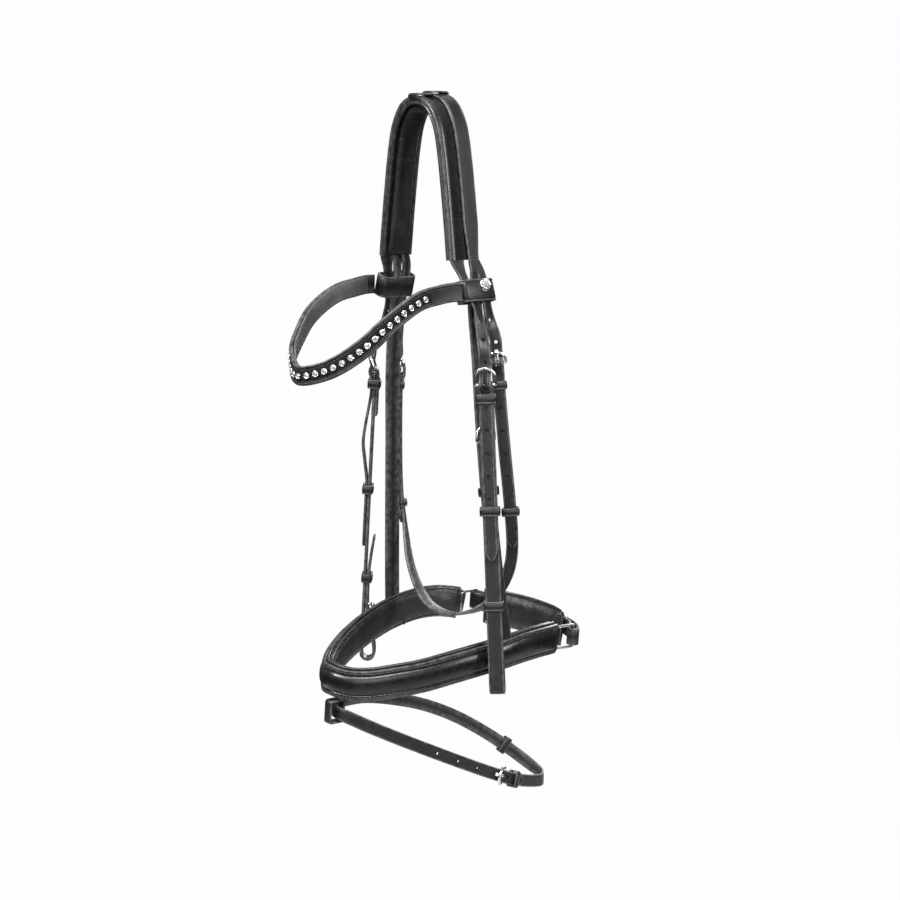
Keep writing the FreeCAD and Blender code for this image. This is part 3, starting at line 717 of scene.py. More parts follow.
KEEPER_FACE = ([(1.1, 0, 0.5), (1.5, -0.25, 0), (1.9, 0, 0.1)], 0.1)


def keeper(name, place, width, low, high, height, clearance, node):
    bm = bmesh.new()
    closed_strap_mesh(bm, loop_rows(place, width, low, high, height, clearance), 1.8, KEEPER_FACE)
    made = piece(name, bm, BRIDLE)
    stand_for(made, "leather", node)


# ---- buckles ----
WIRE = 1.5


def buckle(place, inner, side, tilt, frame_node, prong_node, steel_name):
    """A horseshoe frame and its prong, on a strap's buckle bar."""
    turn = Matrix.Rotation(math.radians(tilt), 3, "X")
    reach = inner / 2 + WIRE

    def put(x, y, z):
        local = turn @ Vector((x, y, z))
        return point_on(place, local.x, local.y, local.z)

    corner = reach - 1.0
    quarter = [math.radians(d) for d in (0, 30, 60, 90)]
    line = [put(x, 0, 0) for x in (-reach * 0.5, 0, reach * 0.5)]
    line += [put(corner + math.sin(a), 0, -1.0 + math.cos(a)) for a in quarter]
    line += [put(reach, 0, -side * f) for f in (0.5, 1.0)]
    line += [put(reach * math.cos(a), 0, -side - reach * math.sin(a))
             for a in (math.radians(d) for d in range(12, 180, 12))]
    line += [put(-reach, 0, -side * f) for f in (1.0, 0.5)]
    line += [put(-corner - math.cos(a), 0, -1.0 + math.sin(a)) for a in quarter]
    made = tubes(steel_name + "_frame", [line], WIRE, STEEL, closed=True, sides=14)
    stand_for(made, "steel", frame_node)
    rise = WIRE + PRONG_WIRE + 0.1
    tip = reach + side + 2.2
    bm = bmesh.new()
    eye = [put(0, rise * math.cos(a), rise * math.sin(a))
           for a in (math.radians(d) for d in range(0, 331, 22))]
    tube_mesh(bm, eye, 1.05, sides=12)
    tongue = [put(0, rise - dip, z) for dip, z in (
        (0, 0.4), (0, -2), (0, -tip * 0.5), (0, -tip + 1.4), (0.1, -tip + 0.3), (0.2, -tip))]
    sizes = (1.0, 1.1, 1.05, 1.0, 0.75, 0.3)
    tube_mesh(bm, tongue, lambda i: sizes[i], sides=12)
    made = piece(steel_name + "_prong", bm, STEEL)
    stand_for(made, "steel", prong_node)


def fold_rows(place, width, back_length, front):
    """Rows of a strap that comes up behind a buckle's bar, round it and down the front."""
    radius = 2.65
    rows = [row_at(place, y, z, width, thick)
            for y, z, thick in ((-3.0, back_length, 2.2), (-3.0, back_length * 0.5, 2.6),
                                (-3.0, 6.5, 2.4), (-2.9, 3.5, 1.9))]
    for degrees in (-20, 10, 45, 90, 135, 170):
        a = math.radians(degrees)
        rows.append(row_at(place, -radius * math.cos(a), -radius * math.sin(a), width, 1.6))
    return rows + [row_at(place, y, z, width, thick) for y, z, thick in front]


# ---- pads ----
def pad_mesh(bm, rows, thickness, lift, bulge):
    """A stuffed pad: fullest along its middle, thin at its sewn edges and ends."""
    rings = []
    total = length_of(rows)
    done = 0.0
    previous = None
    for i, row in enumerate(rows):
        centre, _, across, out = axes(rows, i)
        if previous is not None:
            done += (centre - previous).length
        previous = centre
        near_end = min(done, total - done) / (thickness * 0.9)
        fill = math.sqrt(max(0.10, 1 - max(0.0, 1 - near_end) ** 2))
        half, t = row[6] / 2, thickness / 2 * fill
        ring = []
        for a in circle(20):
            x = half * math.copysign(abs(math.cos(a)) ** 0.8, math.cos(a))
            y = t * math.copysign(abs(math.sin(a)) ** bulge, math.sin(a))
            ring.append(centre + across * x + out * (lift + y))
        rings.append(ring)
    loft(bm, rings)


def plump(made, voxel, cap):
    """Let the pad swell as cloth under air pressure; no point moves further than the cap."""
    scene = bpy.context.scene
    bpy.context.view_layer.objects.active = made
    made.data.remesh_voxel_size = voxel * MM
    bpy.ops.object.voxel_remesh()
    start = [v.co.copy() for v in made.data.vertices]
    cloth = made.modifiers.new("Cloth", "CLOTH")
    settings = cloth.settings
    settings.quality = 5
    settings.mass = 0.3
    settings.use_pressure = True
    settings.uniform_pressure_force = 4.0
    settings.effector_weights.gravity = 0.0
    for number in range(1, 21):
        scene.frame_set(number)
    apply_modifiers(made)
    scene.frame_set(1)
    for vert, before in zip(made.data.vertices, start):
        shift = vert.co - before
        if shift.length > cap * MM:
            vert.co = before + shift.normalized() * cap * MM
    relax = made.modifiers.new("relax", "SMOOTH")
    relax.factor = 0.5
    relax.iterations = 3
    finer = made.modifiers.new("finer", "SUBSURF")
    finer.levels = 1
    apply_modifiers(made)


def wrinkle(made, stretch, depth, seed):
    """Press fine creases into a pad; they run along the axes whose stretch is small."""
    for vert in made.data.vertices:
        at = vert.co
        sample = Vector((at.x * stretch[0], at.y * stretch[1], at.z * stretch[2]))
        fine = noise.noise(sample + Vector((seed, 0, 0)))
        broad = noise.noise(at * 38 + Vector((0, seed, 0)))
        vert.co = at + vert.normal * MM * depth * (abs(fine) * -1.3 + 0.25) * (0.6 + broad)


def pad(name, rows, thickness, lift, material, voxel, cap, stretch, depth, seed, bulge=0.72):
    bm = bmesh.new()
    pad_mesh(bm, rows, thickness, lift, bulge)
    made = piece(name, bm, material)
    plump(made, voxel, cap)
    wrinkle(made, stretch, depth, seed)
    soften(made, 60)
    return made


# ---- headpiece ----
ARCH = [(0, 9.5), (13, 7), (24, -1), (33.5, -18), (39.5, -43), (45, -79), (49.5, -114),
        (53.2, -146)]
CROWN_WIDTH, CROWN_THICK, CROWN_PAD_THICK = 37.0, 4.0, 7.6
HEADSTRAP_LIFT = (CROWN_THICK + SKIVED) / 2 + 0.15
NEAR_HANGER = [(65.0, 10.0, -245, 0, 18), (69.6, 10.2, -300, 0, 18), (75.0, 11.8, -362, 0, 18),
               (81.0, 15.5, -430, 0, 18), (85.3, 19.8, -480, 0, 18), (88.0, 23.4, -516.5, 0, 18)]


def arch_rows(y, width, low_z, steps=6):
    points = [(x, z) for x, z in ARCH if z >= low_z]
    line = [(-x, z) for x, z in reversed(points[1:])] + points
    return smooth([(x, y, z, 0, 1, 0, width) for x, z in line], steps)


def make_crown():
    rows = arch_rows(0, CROWN_WIDTH, -200)
    made = strap("crown_strap", rows, CROWN_THICK, SMOOTH, CORDED)
    stand_for(made, "leather", "crown_leather")
    lift = -(CROWN_THICK + CROWN_PAD_THICK) / 2 - 0.15
    narrow = [r[:6] + (r[6] - 9,) for r in rows]
    made = pad("crown_cushion", part_of(narrow, 1, length_of(rows) - 1, 2.5),
               CROWN_PAD_THICK - 1.0, lift - 0.2, SOFT, 3.0, 1.2, (40, 25, 230), 0.6, 3.0)
    stand_for(made, "soft_lining", "crown_padding")
    bm = bmesh.new()
    for side in (-1, 1):
        tube_mesh(bm, edge_line(rows, side, 2.1, -3.9), 2.05, sides=12)
        tube_mesh(bm, edge_line(rows, side, 5.0, -3.2), 1.1, sides=8)
    made = piece("crown_piping", bm, SMOOTH)
    stand_for(made, "leather", body="headpiece")
    bm = bmesh.new()
    total = length_of(rows)
    stitches(bm, rows, 5.6, CROWN_THICK / 2 + 0.1, 2, total - 2, sides=(-1,), pitch=3.0)
    for d in (1.6, total - 1.6):
        cross_stitches(bm, spot(rows, d), 30, -CROWN_THICK / 2 - 0.1)
    made = piece("crown_stitching", bm, THREAD)
    stand_for(made, "leather", body="headpiece")


def make_headstrap():
    """Noseband strap: over the crown, down through both browband loops to the noseband."""
    side = hanging([(x, 8.5, z, 0, width) for x, z, width in (
        (58.3, -150, 11.5), (59.2, -158, 10), (59.1, -165, 10), (58.7, -174, 10),
        (59.6, -185, 14), (60.8, HINGE_Z + 0.5, 18))])
    near_down = hanging(NEAR_HANGER + [(88.2, 24.0, -530, 0, 18)])
    off_down = hanging([(66.5, 8.5, -262, 0, 18), (74.0, 14.0, -345, 0, 18),
                        (83.0, 20.5, -440, 0, 18), (88.5, 25.0, -499.5, 0, 18),
                        (88.3, 25.6, -514, 0, 18)])
    top = moved(arch_rows(9.2, 18, -120, 3), HEADSTRAP_LIFT)
    near = smooth(side + near_down, 6)
    off = [(-r[0],) + r[1:] for r in reversed(smooth(side + off_down, 6))]
    rows = smooth(off + top + near, 2)
    made = strap("noseband_headstrap_long", rows, SKIVED)
    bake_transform(made)
    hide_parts("noseband_headstrap", "near_noseband_hanger", "off_noseband_hanger")
    bm = bmesh.new()
    for z in (-146.0, -143.2):
        for side_sign in (-1, 1):
            reach = near_distance(rows, z, side_sign)
            cross_stitches(bm, spot(rows, reach), 11, SKIVED / 2 + 0.1)
    made = piece("headstrap_stitching", bm, THREAD)
    stand_for(made, "leather", body="headpiece")


def near_distance(rows, z, side):
    """How far along the long strap it passes a height, on one side of the horse."""
    done = 0.0
    for a, b in zip(rows, rows[1:]):
        step = (Vector(b[0:3]) - Vector(a[0:3])).length
        if a[0] * side > 0 and (a[2] - z) * (b[2] - z) <= 0:
            return done + step * (z - a[2]) / (b[2] - a[2] or 1)
        done += step
    return done


def make_poll_keeper():
    """It hugs the crown in front and steps up over the headstrap behind."""
    profile = [(-19.6, 9.8), (-19.6, 12.4), (-18.2, 13.7), (-14, 13.9), (-6, 13.7), (-2.4, 14.0),
               (-0.6, 15.4), (1.0, 15.9), (9, 15.9), (17.6, 15.8), (19.4, 14.9), (20.0, 13.0),
               (20.0, 9.8), (9, 8.9), (-9, 8.9)]
    bm = bmesh.new()
    closed_strap_mesh(bm, [(0, y, z, 1, 0, 0, 15) for y, z in profile], 1.7, KEEPER_FACE)
    made = piece("poll_loop", bm, BRIDLE)
    stand_for(made, "leather", "poll_keeper")


# ---- browband ----
BROWBAND = [(68.5, -14.6, -176), (66.5, -27, -176), (65, -42, -178), (64.5, -63, -182),
            (64, -84, -192), (61.5, -103, -205), (54, -121, -222), (43.5, -136.5, -235.5),
            (30, -147, -245), (14, -156, -251), (0, -160, -253)]
BROWBAND_HEIGHT = 19.0
CRYSTAL_START, CRYSTAL_PITCH, CUP = 46.0, 9.5, 3.3
LOOP_CENTRE, LOOP_LEAN = Vector((61.7, 7.4, -177)), math.radians(16)
LOOP_WIDTH, LOOP_DEPTH, LOOP_HEIGHT = 37.4, 14.0, 22.0


def make_browband():
    rows = smooth(banded(both_ways(BROWBAND), BROWBAND_HEIGHT), 5)
    total = length_of(rows)
    made = strap("browband_strap", rows, LEATHER, BRIDLE, RIMMED)
    stand_for(made, "browband_leather", "browband_leather")
    inner = with_width(part_of(rows, 13, total - 13), BROWBAND_HEIGHT - 2.4)
    made = strap("browband_backing", inner, 1.9, LINING, PLAIN, -(LEATHER + 2.2) / 2 - 0.3)
    stand_for(made, "soft_lining", "browband_lining")
    inlay = with_width(part_of(rows, CRYSTAL_START - 8, total - CRYSTAL_START + 8), 9.6)
    made = strap("browband_inlay", inlay, 0.7, INLAY, PLAIN, LEATHER / 2 - 0.25)
    stand_for(made, "browband_leather", body="browband")
    bm = bmesh.new()
    stitches(bm, rows, 3.9, LEATHER / 2 - 0.1, 4, total - 4, pitch=2.9)
    stitches(bm, inner, 1.9, -LEATHER / 2 - 2.35, 2, length_of(inner) - 2, pitch=2.9)
    for d in (13.2, total - 13.2):
        cross_stitches(bm, spot(rows, d), 15, -LEATHER / 2 - 2.35)
    made = piece("browband_stitching", bm, THREAD)
    stand_for(made, "browband_leather", body="browband")
    make_crystals(rows, total)


def make_crystals(rows, total):
    count = int((total - 2 * CRYSTAL_START) / CRYSTAL_PITCH) + 1
    pitch = (total - 2 * CRYSTAL_START) / (count - 1)
    cups, stones = bmesh.new(), bmesh.new()
    stone = CUP - 0.75
    for i in range(count):
        place = lifted(spot(rows, CRYSTAL_START + i * pitch), LEATHER / 2 + 0.2)
        add_cup(cups, place, CUP)
        add_stone(stones, place, 8, (stone * 0.5, 0.2), (stone, 1.0), (stone * 0.93, 1.35),
                  (stone * 0.55, 2.0))
    made = piece("stone_cups", cups, SILVER)
    stand_for(made, "silver", "crystal_cups")
    made = piece("cut_stones", stones, GLASS, sharp=4)
    stand_for(made, "crystal", "crystals")


def turned_rings(place, profile, sides, twist=0.0):
    rings = []
    for radius, height in profile:
        rings.append([point_on(place, radius * math.cos(a), height, radius * math.sin(a))
                      for a in circle(sides, twist)])
    return rings


def add_cup(bm, place, radius):
    """A pressed cup with a rolled rim and four claws over its stone."""
    profile = [(radius * 0.5, -0.1), (radius * 0.92, 0.0), (radius, 0.5), (radius * 0.99, 1.2),
               (radius * 0.93, 1.65), (radius * 0.84, 1.75), (radius * 0.77, 1.5),
               (radius * 0.74, 0.8)]
    loft(bm, turned_rings(place, profile, 20))
    add_claws(bm, place, circle(4, 0.6), 0.34,
              [(radius * 0.95, 1.2), (radius * 0.86, 1.95), (radius * 0.68, 2.2)])


def add_claws(bm, place, angles, wire, profile):
    for a in angles:
        line = [point_on(place, r * math.cos(a), height, r * math.sin(a)) for r, height in profile]
        tube_mesh(bm, line, wire, sides=6)


def add_stone(bm, place, sides, back, girdle, crown, table):
    """A brilliant cut: its back, girdle, crown facets and flat table, as radii and heights."""
    rings = turned_rings(place, [back, girdle], sides)
    rings += turned_rings(place, [crown], sides, math.pi / sides)
    rings += turned_rings(place, [table], sides)
    loft(bm, rings)


def loop_place(side):
    """The middle of a browband loop, with the headpiece's straps running down through it."""
    down = Vector((math.sin(LOOP_LEAN), 0, -math.cos(LOOP_LEAN)))
    out = Vector((math.cos(LOOP_LEAN), 0, math.sin(LOOP_LEAN)))
    place = (LOOP_CENTRE, down, Vector((0, 1, 0)), out)
    return place if side == "near" else mirrored_place(place)


def make_browband_loops():
    studs, stones = bmesh.new(), bmesh.new()
    for side in ("near", "off"):
        place = loop_place(side)
        rows = loop_rows(place, LOOP_WIDTH, -LOOP_DEPTH / 2, LOOP_DEPTH / 2, LOOP_HEIGHT, 0.3,
                         5.6)
        bm = bmesh.new()
        closed_strap_mesh(bm, rows, 2.2, CREASED)
        made = piece(side + "_brow_loop", bm, BRIDLE)
        stand_for(made, "browband_leather", side + "_browband_loop")
        rear = 6.1 if side == "near" else -6.1
        rosette = lifted(shifted(place, rear, 0, -4.4), LOOP_DEPTH / 2 + 2.35)
        profile = [(4.0, -0.2), (6.3, 0.0), (6.5, 0.7), (6.1, 1.5), (5.5, 1.9), (5.0, 1.6),
                   (4.8, 1.0)]
        loft(studs, turned_rings(rosette, profile, 28))
        add_claws(studs, rosette, circle(8), 0.42, [(5.9, 1.3), (5.2, 2.4), (4.2, 3.1)])
        add_stone(stones, rosette, 12, (3.0, 0.8), (4.9, 1.9), (4.2, 2.9), (2.4, 3.9))
    made = piece("snap_rosettes", studs, SILVER)
    stand_for(made, "silver", "snap_studs")
    made = piece("snap_stones", stones, GLASS, sharp=4)
    stand_for(made, "crystal", body=body_of["snap_studs"])


# ---- cheeks ----
CHEEK_BAR, CHEEK_FOOT = Vector((85.3, 0.8, -266)), Vector((107.0, -2.0, -570))
CHEEK_FACING = 47.0
CHEEK_WIDTH, CHEEK_INNER, CHEEK_SIDE, FRAME_TILT = 15.0, 17.0, 7.0, 17.0
BIT_RADIUS, BIT_DEPTH = 5.0, 305.0
CHEEK_LEG = hanging([
    (52.2, -9, -138, 0, 17), (53.4, -9, -146, 0, 17), (57.2, -5.4, -160, 0, 10.4),
    (62.6, 0.3, -177, -4, 11.6), (66.8, 6.0, HINGE_Z + 2.4, -10, 12), (72.0, 5.2, -209, 6, 12),
    (77.6, 3.4, -221, 28, 12)])
PRONG_SLOT = (-1.7, 1.7, -6, 16, -13, 4.4)
PRONG_GAP = (-2.0, 2.0, -6, 6, -4.5, 3.6)


def cheek_place():
    along = (CHEEK_FOOT - CHEEK_BAR).normalized()
    turn = math.radians(CHEEK_FACING)
    across = Vector((math.sin(turn), math.cos(turn), 0))
    across = (across - along * across.dot(along)).normalized()
    return CHEEK_BAR, along, across, along.cross(across)


def billet_rows(place, bow, tip_z):
    """Headpiece leg and cheek billet: through the buckle at place and down to its point."""
    shape = [(1.2, -34), (1.2, -24), (1.3, -17), (2.6, -9), (5.3, -1), (5.1, 3), (3.7, 7),
             (3.3, 11), (3.3, 26), (3.3 + bow, 70), (3.3 + 0.6 * bow, 92), (3.3, 114),
             (3.3, 134), (3.3, tip_z - 16)]
    rows = list(CHEEK_LEG)
    rows += [row_at(place, y, z, 12.0) for y, z in shape]
    rows += [row_at(place, 3.3, tip_z - back, width) for back, width in POINT]
    return smooth(rows, 5)


def cheek_rows(place):
    """Cheekpiece: buckle fold, down to the open bit loop, and its tail back up inside."""
    centre_y = -(BIT_RADIUS + LEATHER / 2)
    centre_z = BIT_DEPTH - BIT_RADIUS - LEATHER
    front = [(2.4, 3.0, 1.8), (1.2, 6.0, 2.4), (0, 10, 3.0), (0, 60, 3.0), (0, 120, 3.0),
             (0, 180, 3.0), (0, 230, 3.0), (0, 262, 3.0), (0, centre_z - 16, 3.0)]
    radius = BIT_RADIUS + LEATHER / 2
    for degrees in (0, 30, 60, 90, 120, 150, 180):
        a = math.radians(degrees)
        front.append((centre_y + radius * math.cos(a), centre_z + radius * math.sin(a), 3.0))
    front += [(2 * centre_y + 0.5, centre_z - 9, 3.0), (-8.6, centre_z - 28, 3.0),
              (-4.0, centre_z - 47, 3.0), (-3.35, centre_z - 80, 2.8),
              (-4.9, centre_z - 102, 2.6), (-7.5, centre_z - 124, 2.2)]
    return smooth(fold_rows(place, CHEEK_WIDTH, 46, front), 5)


def make_cheek(side, bow, tip_z):
    place = cheek_place()
    billet = billet_rows(place, bow, tip_z)
    cheek = cheek_rows(place)
    if side == "off":
        place = mirrored_place(place)
        billet, cheek = mirrored_rows(billet), mirrored_rows(cheek)
    run = length_of(billet) - tip_z
    holes = [run + k * HOLE_PITCH for k in (-3, -2, -1, 1, 2, 3, 4, 5)]
    made = strap(side + "_billet_strap", billet, SKIVED, holes=holes,
                 slots=[(place, PRONG_SLOT)])
    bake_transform(made)
    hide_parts(side + "_cheek_billet")
    made = strap(side + "_cheek_strap", cheek, LEATHER, slots=[(place, PRONG_GAP)])
    stand_for(made, "leather", side + "_cheekpiece")
    bm = bmesh.new()
    rows = [row_at(place, 0, z, CHEEK_WIDTH) for z in (16, 46)]
    stitches(bm, rows, 2.0, LEATHER / 2 + 0.05, 0, 30)
    stitches(bm, rows, 2.0, -4.3, 0, 30)
    made = piece(side + "_cheek_stitching", bm, THREAD)
    stand_for(made, "leather", body=body_of[side + "_cheekpiece"])
    buckle(place, CHEEK_INNER, CHEEK_SIDE, FRAME_TILT, side + "_cheek_buckle_frame",
           side + "_cheek_buckle_prong", side + "_cheek_buckle")
    high = 3.3 + SKIVED / 2
    for name, z, low, top, clearance in (
            ("cheek_keeper_upper", 13.5, -4.3, high + 0.3, 0.2),
            ("cheek_keeper_lower", 123.5, -LEATHER / 2, high, 0.7),
            ("bit_keeper", 217.0, -5.4, LEATHER / 2, 0.25)):
        at = shifted(place, 0, 0, z)
        keeper(side + "_" + name + "_band", at, CHEEK_WIDTH, low, top, 9.0, clearance,
               side + "_" + name)
    at = shifted(place, 0, -5.0, 246)
    bm = bmesh.new()
    profile = [(0.3, 0), (2.4, -0.1), (2.4, -0.6), (1.5, -0.9), (1.4, -2.2), (2.2, -3.2),
               (2.5, -4.3), (2.1, -5.5), (1.2, -6.3), (0.2, -6.6)]
    loft(bm, turned_rings(at, profile, 18))
    made = piece(side + "_stud_pin", bm, STEEL)
    stand_for(made, "steel", side + "_hook_stud")


# ---- throatlash ----
THROAT_INNER, THROAT_SIDE, THROAT_TILT, THROAT_WIDTH = 13.6, 3.6, 28.0, 12.0
THROAT = hanging([
    (74.0, 26.0, -247, 46, 12), (76.5, 28.0, -285, 46, 12), (80.0, 31.0, -334, 46, 12),
    (82.8, 34.5, -378, 46, 12), (83.8, 37.5, -414, 44, 12), (80.5, 40.0, -441, 40, 12),
    (70.0, 41.5, -465, 32, 12), (52.0, 39.0, -489, 20, 12), (30.0, 30.0, -503, 9, 12),
    (0.0, 23.5, -508, 0, 12), (-30.0, 21.0, -498, -9, 12), (-60.0, 26.5, -467, -22, 12),
    (-81.5, 36.0, -425, -40, 12), (-87.5, 36.6, -391, -45, 12), (-85.5, 34.0, -340, -46, 12),
    (-79.5, 29.5, -300, -46, 12), (-74.5, 26.5, -260, -46, 12)])
THROAT_LEG = hanging([
    (52.2, 13.5, -138, 0, 10), (53.4, 14, -146, 0, 9.5), (57.2, 19.0, -160, 0, 10.2),
    (62.6, 19.4, -177, -4, 11.4), (66.8, 19.3, HINGE_Z + 2.4, -10, 12),
    (69.6, 21.0, -208, 10, 12)])


def make_throatlash():
    rows = smooth(THROAT, 5)
    total = length_of(rows)
    near = spot(rows, 0.0)
    off = turned(spot(rows, total))
    fold_near, fold_off = (
        smooth(fold_rows(place, THROAT_WIDTH, 14, [(2.3, 3.0, 1.8), (1.0, 6.0, 2.4)]), 4)
        for place in (near, off))
    plain = [r[:6] + (r[6], LEATHER) for r in part_of(rows, 10, total - 10, 4.0)]
    whole = fold_near + plain + fold_off[::-1]
    made = strap("throatlash_long", whole, LEATHER,
                 slots=[(near, PRONG_GAP), (off, PRONG_GAP)])
    stand_for(made, "leather", "throatlash_strap")
    for side, place, tip in (("near", near, 184), ("off", off, 168)):
        make_throat_side(side, place, tip, rows)


def make_throat_side(side, place, tip, rows):
    route = list(THROAT_LEG) if side == "near" else mirrored_rows(THROAT_LEG)
    rows_here = rows if side == "near" else list(reversed(rows))

    def here(d):
        centre, along, across, out = spot(rows_here, d)
        return (centre, along, across, out) if side == "near" else (centre, along, -across, -out)

    shape = [(0.8, -24), (0.4, -16), (0.2, -10.5), (0.5, -8.2), (2.8, -5.1), (5.2, -0.8),
             (5.1, 3.5), (4.3, 6.5)]
    route += [row_at(place, y, z, THROAT_WIDTH) for y, z in shape]
    d = 12.0
    while d < tip - 15:
        route.append(row_at(here(d), 3.4, 0, THROAT_WIDTH))
        d += 7.0
    route += [row_at(here(tip - back), 3.4, 0, width) for back, width in POINT]
    route = smooth(route, 4)
    run = length_of(route) - tip
    holes = [run + k * HOLE_PITCH for k in (-2, -1, 1, 2, 3, 4, 5)]
    made = strap(side + "_throat_billet_strap", route, SKIVED, holes=holes,
                 slots=[(place, PRONG_SLOT)])
    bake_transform(made)
    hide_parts(side + "_throat_billet")
    buckle(place, THROAT_INNER, THROAT_SIDE, THROAT_TILT, side + "_throat_buckle_frame",
           side + "_throat_buckle_prong", side + "_throat_buckle")
    keeper(side + "_throat_band_upper", here(22), THROAT_WIDTH, -1.5, 4.7, 8.0, 0.2,
           side + "_throat_keeper_upper")
    keeper(side + "_throat_band_lower", here(148), THROAT_WIDTH, -1.5, 4.7, 8.0, 1.0,
           side + "_throat_keeper_lower")


# ---- noseband ----
NOSEBAND = [(72.5, 108, -526), (80.5, 95, -524), (86, 80, -522.5), (89, 62, -522.5),
            (89.5, 44, -524), (88.4, 24, -527), (84, 1, -531), (75, -31, -538), (64.5, -58, -545),
            (52, -80, -550), (37, -101, -555), (20, -117, -557), (0, -124, -556)]
NOSEBAND_HEIGHT, NOSEBAND_THICK, NOSE_PAD_HEIGHT, NOSE_PAD_THICK = 30.0, 4.0, 35.0, 9.0
RING_BAR = Vector((75.5, 128.0, -526.0))
RING_ROOT = Vector((73.2, 105.0, -526.0))
RING_HEIGHT = 23.0


def make_noseband():
    rows = rolled(smooth(banded(both_ways(NOSEBAND), NOSEBAND_HEIGHT), 5))
    total = length_of(rows)
    rows = part_of(rows, 0, total)
    tips = [(0.0, 0.70), (2.0, 0.86), (5.0, 0.96), (8.5, 1.0)]
    shaped = []
    for i, row in enumerate(rows):
        near_end = min(i, len(rows) - 1 - i) * 3.0
        share = 1.0
        for (d0, w0), (d1, w1) in zip(tips, tips[1:]):
            if d0 <= near_end < d1:
                share = w0 + (w1 - w0) * (near_end - d0) / (d1 - d0)
        shaped.append(row[:6] + (row[6] * share,))

    def face(t):
        near_end = min(t, 1 - t) * total
        share = min(1.0, max(0.0, (near_end - 62) / 30))
        ends = min(1.0, near_end / 9.0)
        flat = ([(d, h * ends, w) for d, h, w in PANEL[0]], PANEL[1] * ends)
        return mixed(flat, RAISED, share)

    made = strap("noseband_strap", shaped, NOSEBAND_THICK, SMOOTH, face)
    stand_for(made, "leather", "noseband_leather")
    lift = -(NOSEBAND_THICK + NOSE_PAD_THICK) / 2 - 0.15
    padded = with_width(part_of(rows, 7, total - 7), NOSE_PAD_HEIGHT - 1.5)
    made = pad("noseband_cushion", padded, NOSE_PAD_THICK - 1.2, lift, SOFT, 3.2, 1.2,
               (160, 160, 14), 0.22, 9.0, 0.6)
    stand_for(made, "soft_lining", "noseband_padding")
    bm = bmesh.new()
    for side in (-1, 1):
        tube_mesh(bm, edge_line(padded, side, 0.9, -NOSEBAND_THICK / 2 - 1.7), 1.25, sides=10)
        tube_mesh(bm, edge_line(padded, side, 1.6, -NOSEBAND_THICK / 2 - 6.0), 1.0, sides=10)
    for d in (74.0, length_of(padded) - 74.0):
        place = spot(padded, d)
        seam = [point_on(place, x, lift - y, 0)
                for x, y in ((-16, 2.2), (-13, 4.0), (-5, 4.9), (5, 4.9), (13, 4.0), (16, 2.2))]
        tube_mesh(bm, seam, 0.8, sides=8)
    made = piece("noseband_piping", bm, SMOOTH)
    stand_for(made, "leather", body="noseband")
    bm = bmesh.new()
    stitches(bm, rows, 2.9, NOSEBAND_THICK / 2 + 0.15, 8, total - 8, pitch=3.1)
    stitches(bm, padded, 5.2, lift - NOSE_PAD_THICK / 2 + 1.0, 6, length_of(padded) - 6, pitch=3.4)
    made = piece("noseband_stitching", bm, THREAD)
    stand_for(made, "leather", body="noseband")
    for side, sign in (("near", 1), ("off", -1)):
        make_ring(side, sign)


def make_ring(side, sign):
    half = Vector((0, 0, RING_HEIGHT / 2))
    corners = [RING_ROOT - half, RING_BAR - half, RING_BAR + half, RING_ROOT + half]
    line = []
    for i, corner in enumerate(corners):
        before = (corners[i - 1] - corner).normalized()
        after = (corners[(i + 1) % 4] - corner).normalized()
        for k in range(5):
            u = k / 4
            line.append(corner + before * 2.2 * (1 - u) ** 2 + after * 2.2 * u ** 2)
    line = [rolled_point(Vector((p.x * sign, p.y, p.z))) for p in line]
    made = tubes(side + "_nose_ring", [line], WIRE, STEEL, closed=True, sides=14)
    stand_for(made, "steel", side + "_noseband_ring")


def make_hanger_buckle():
    """Buckle, keeper and tail on the near side of the noseband strap."""
    rows = smooth(hanging([(61.0, 10.5, HINGE_Z - 3.6, 0, 18)] + NEAR_HANGER), 6)
    at = 124.0
    place = lifted(spot(rows, at), 3.0)
    buckle(place, 19.6, 5.0, 5.0, "noseband_buckle_frame", "noseband_buckle_prong",
           "noseband_buckle")
    length = 66.0
    tail = []
    steps = 22
    for i in range(steps + 1):
        down = 3.6 + (length - 3.6) * i / steps
        here = spot(rows, at + down)
        width = min(16.0, 2.2 + math.sqrt(max(0.0, length - down)) * 4.2)
        tail.append(row_at(here, 2.9, 0, width))
    made = strap("noseband_strap_tail", tail, SKIVED)
    stand_for(made, "leather", body=body_of["near_noseband_hanger"])
    keeper("noseband_strap_band", spot(rows, at + 50), 18.0, -SKIVED / 2, 4.2, 9.0, 0.25,
           "noseband_keeper")


# ---- chin strap ----
CHIN = [(57, 132, -526), (46, 135.5, -525.5), (32, 137.5, -525), (5, 136, -524.5),
        (-25, 129, -524.5), (-50, 118, -525)]
CHIN_PAD_HEIGHT, CHIN_PAD_THICK, CRANK_WIDTH, CRANK_AT = 38.0, 12.0, 18.0, 34.0
CHIN_ROWS = smooth(banded(CHIN, CHIN_PAD_HEIGHT), 4)
LAYER_ONE = CHIN_PAD_THICK / 2 + 0.15 + SKIVED / 2
LAYER_TWO = LAYER_ONE + 5.0
FOLD = 5.0


def back_of_chin(distance):
    """A spot on the pad's middle line with out turned to face back."""
    centre, along, across, out = spot(CHIN_ROWS, distance)
    return centre, along, -across, -out


def behind_chin(distance, lift):
    return point_on(back_of_chin(distance), 0, lift, 0)


def round_bar(sign, angles):
    out = []
    for degrees in angles:
        a = math.radians(degrees)
        out.append(Vector((sign * RING_BAR.x + FOLD * math.cos(a),
                           RING_BAR.y + FOLD * math.sin(a), RING_BAR.z)))
    return out


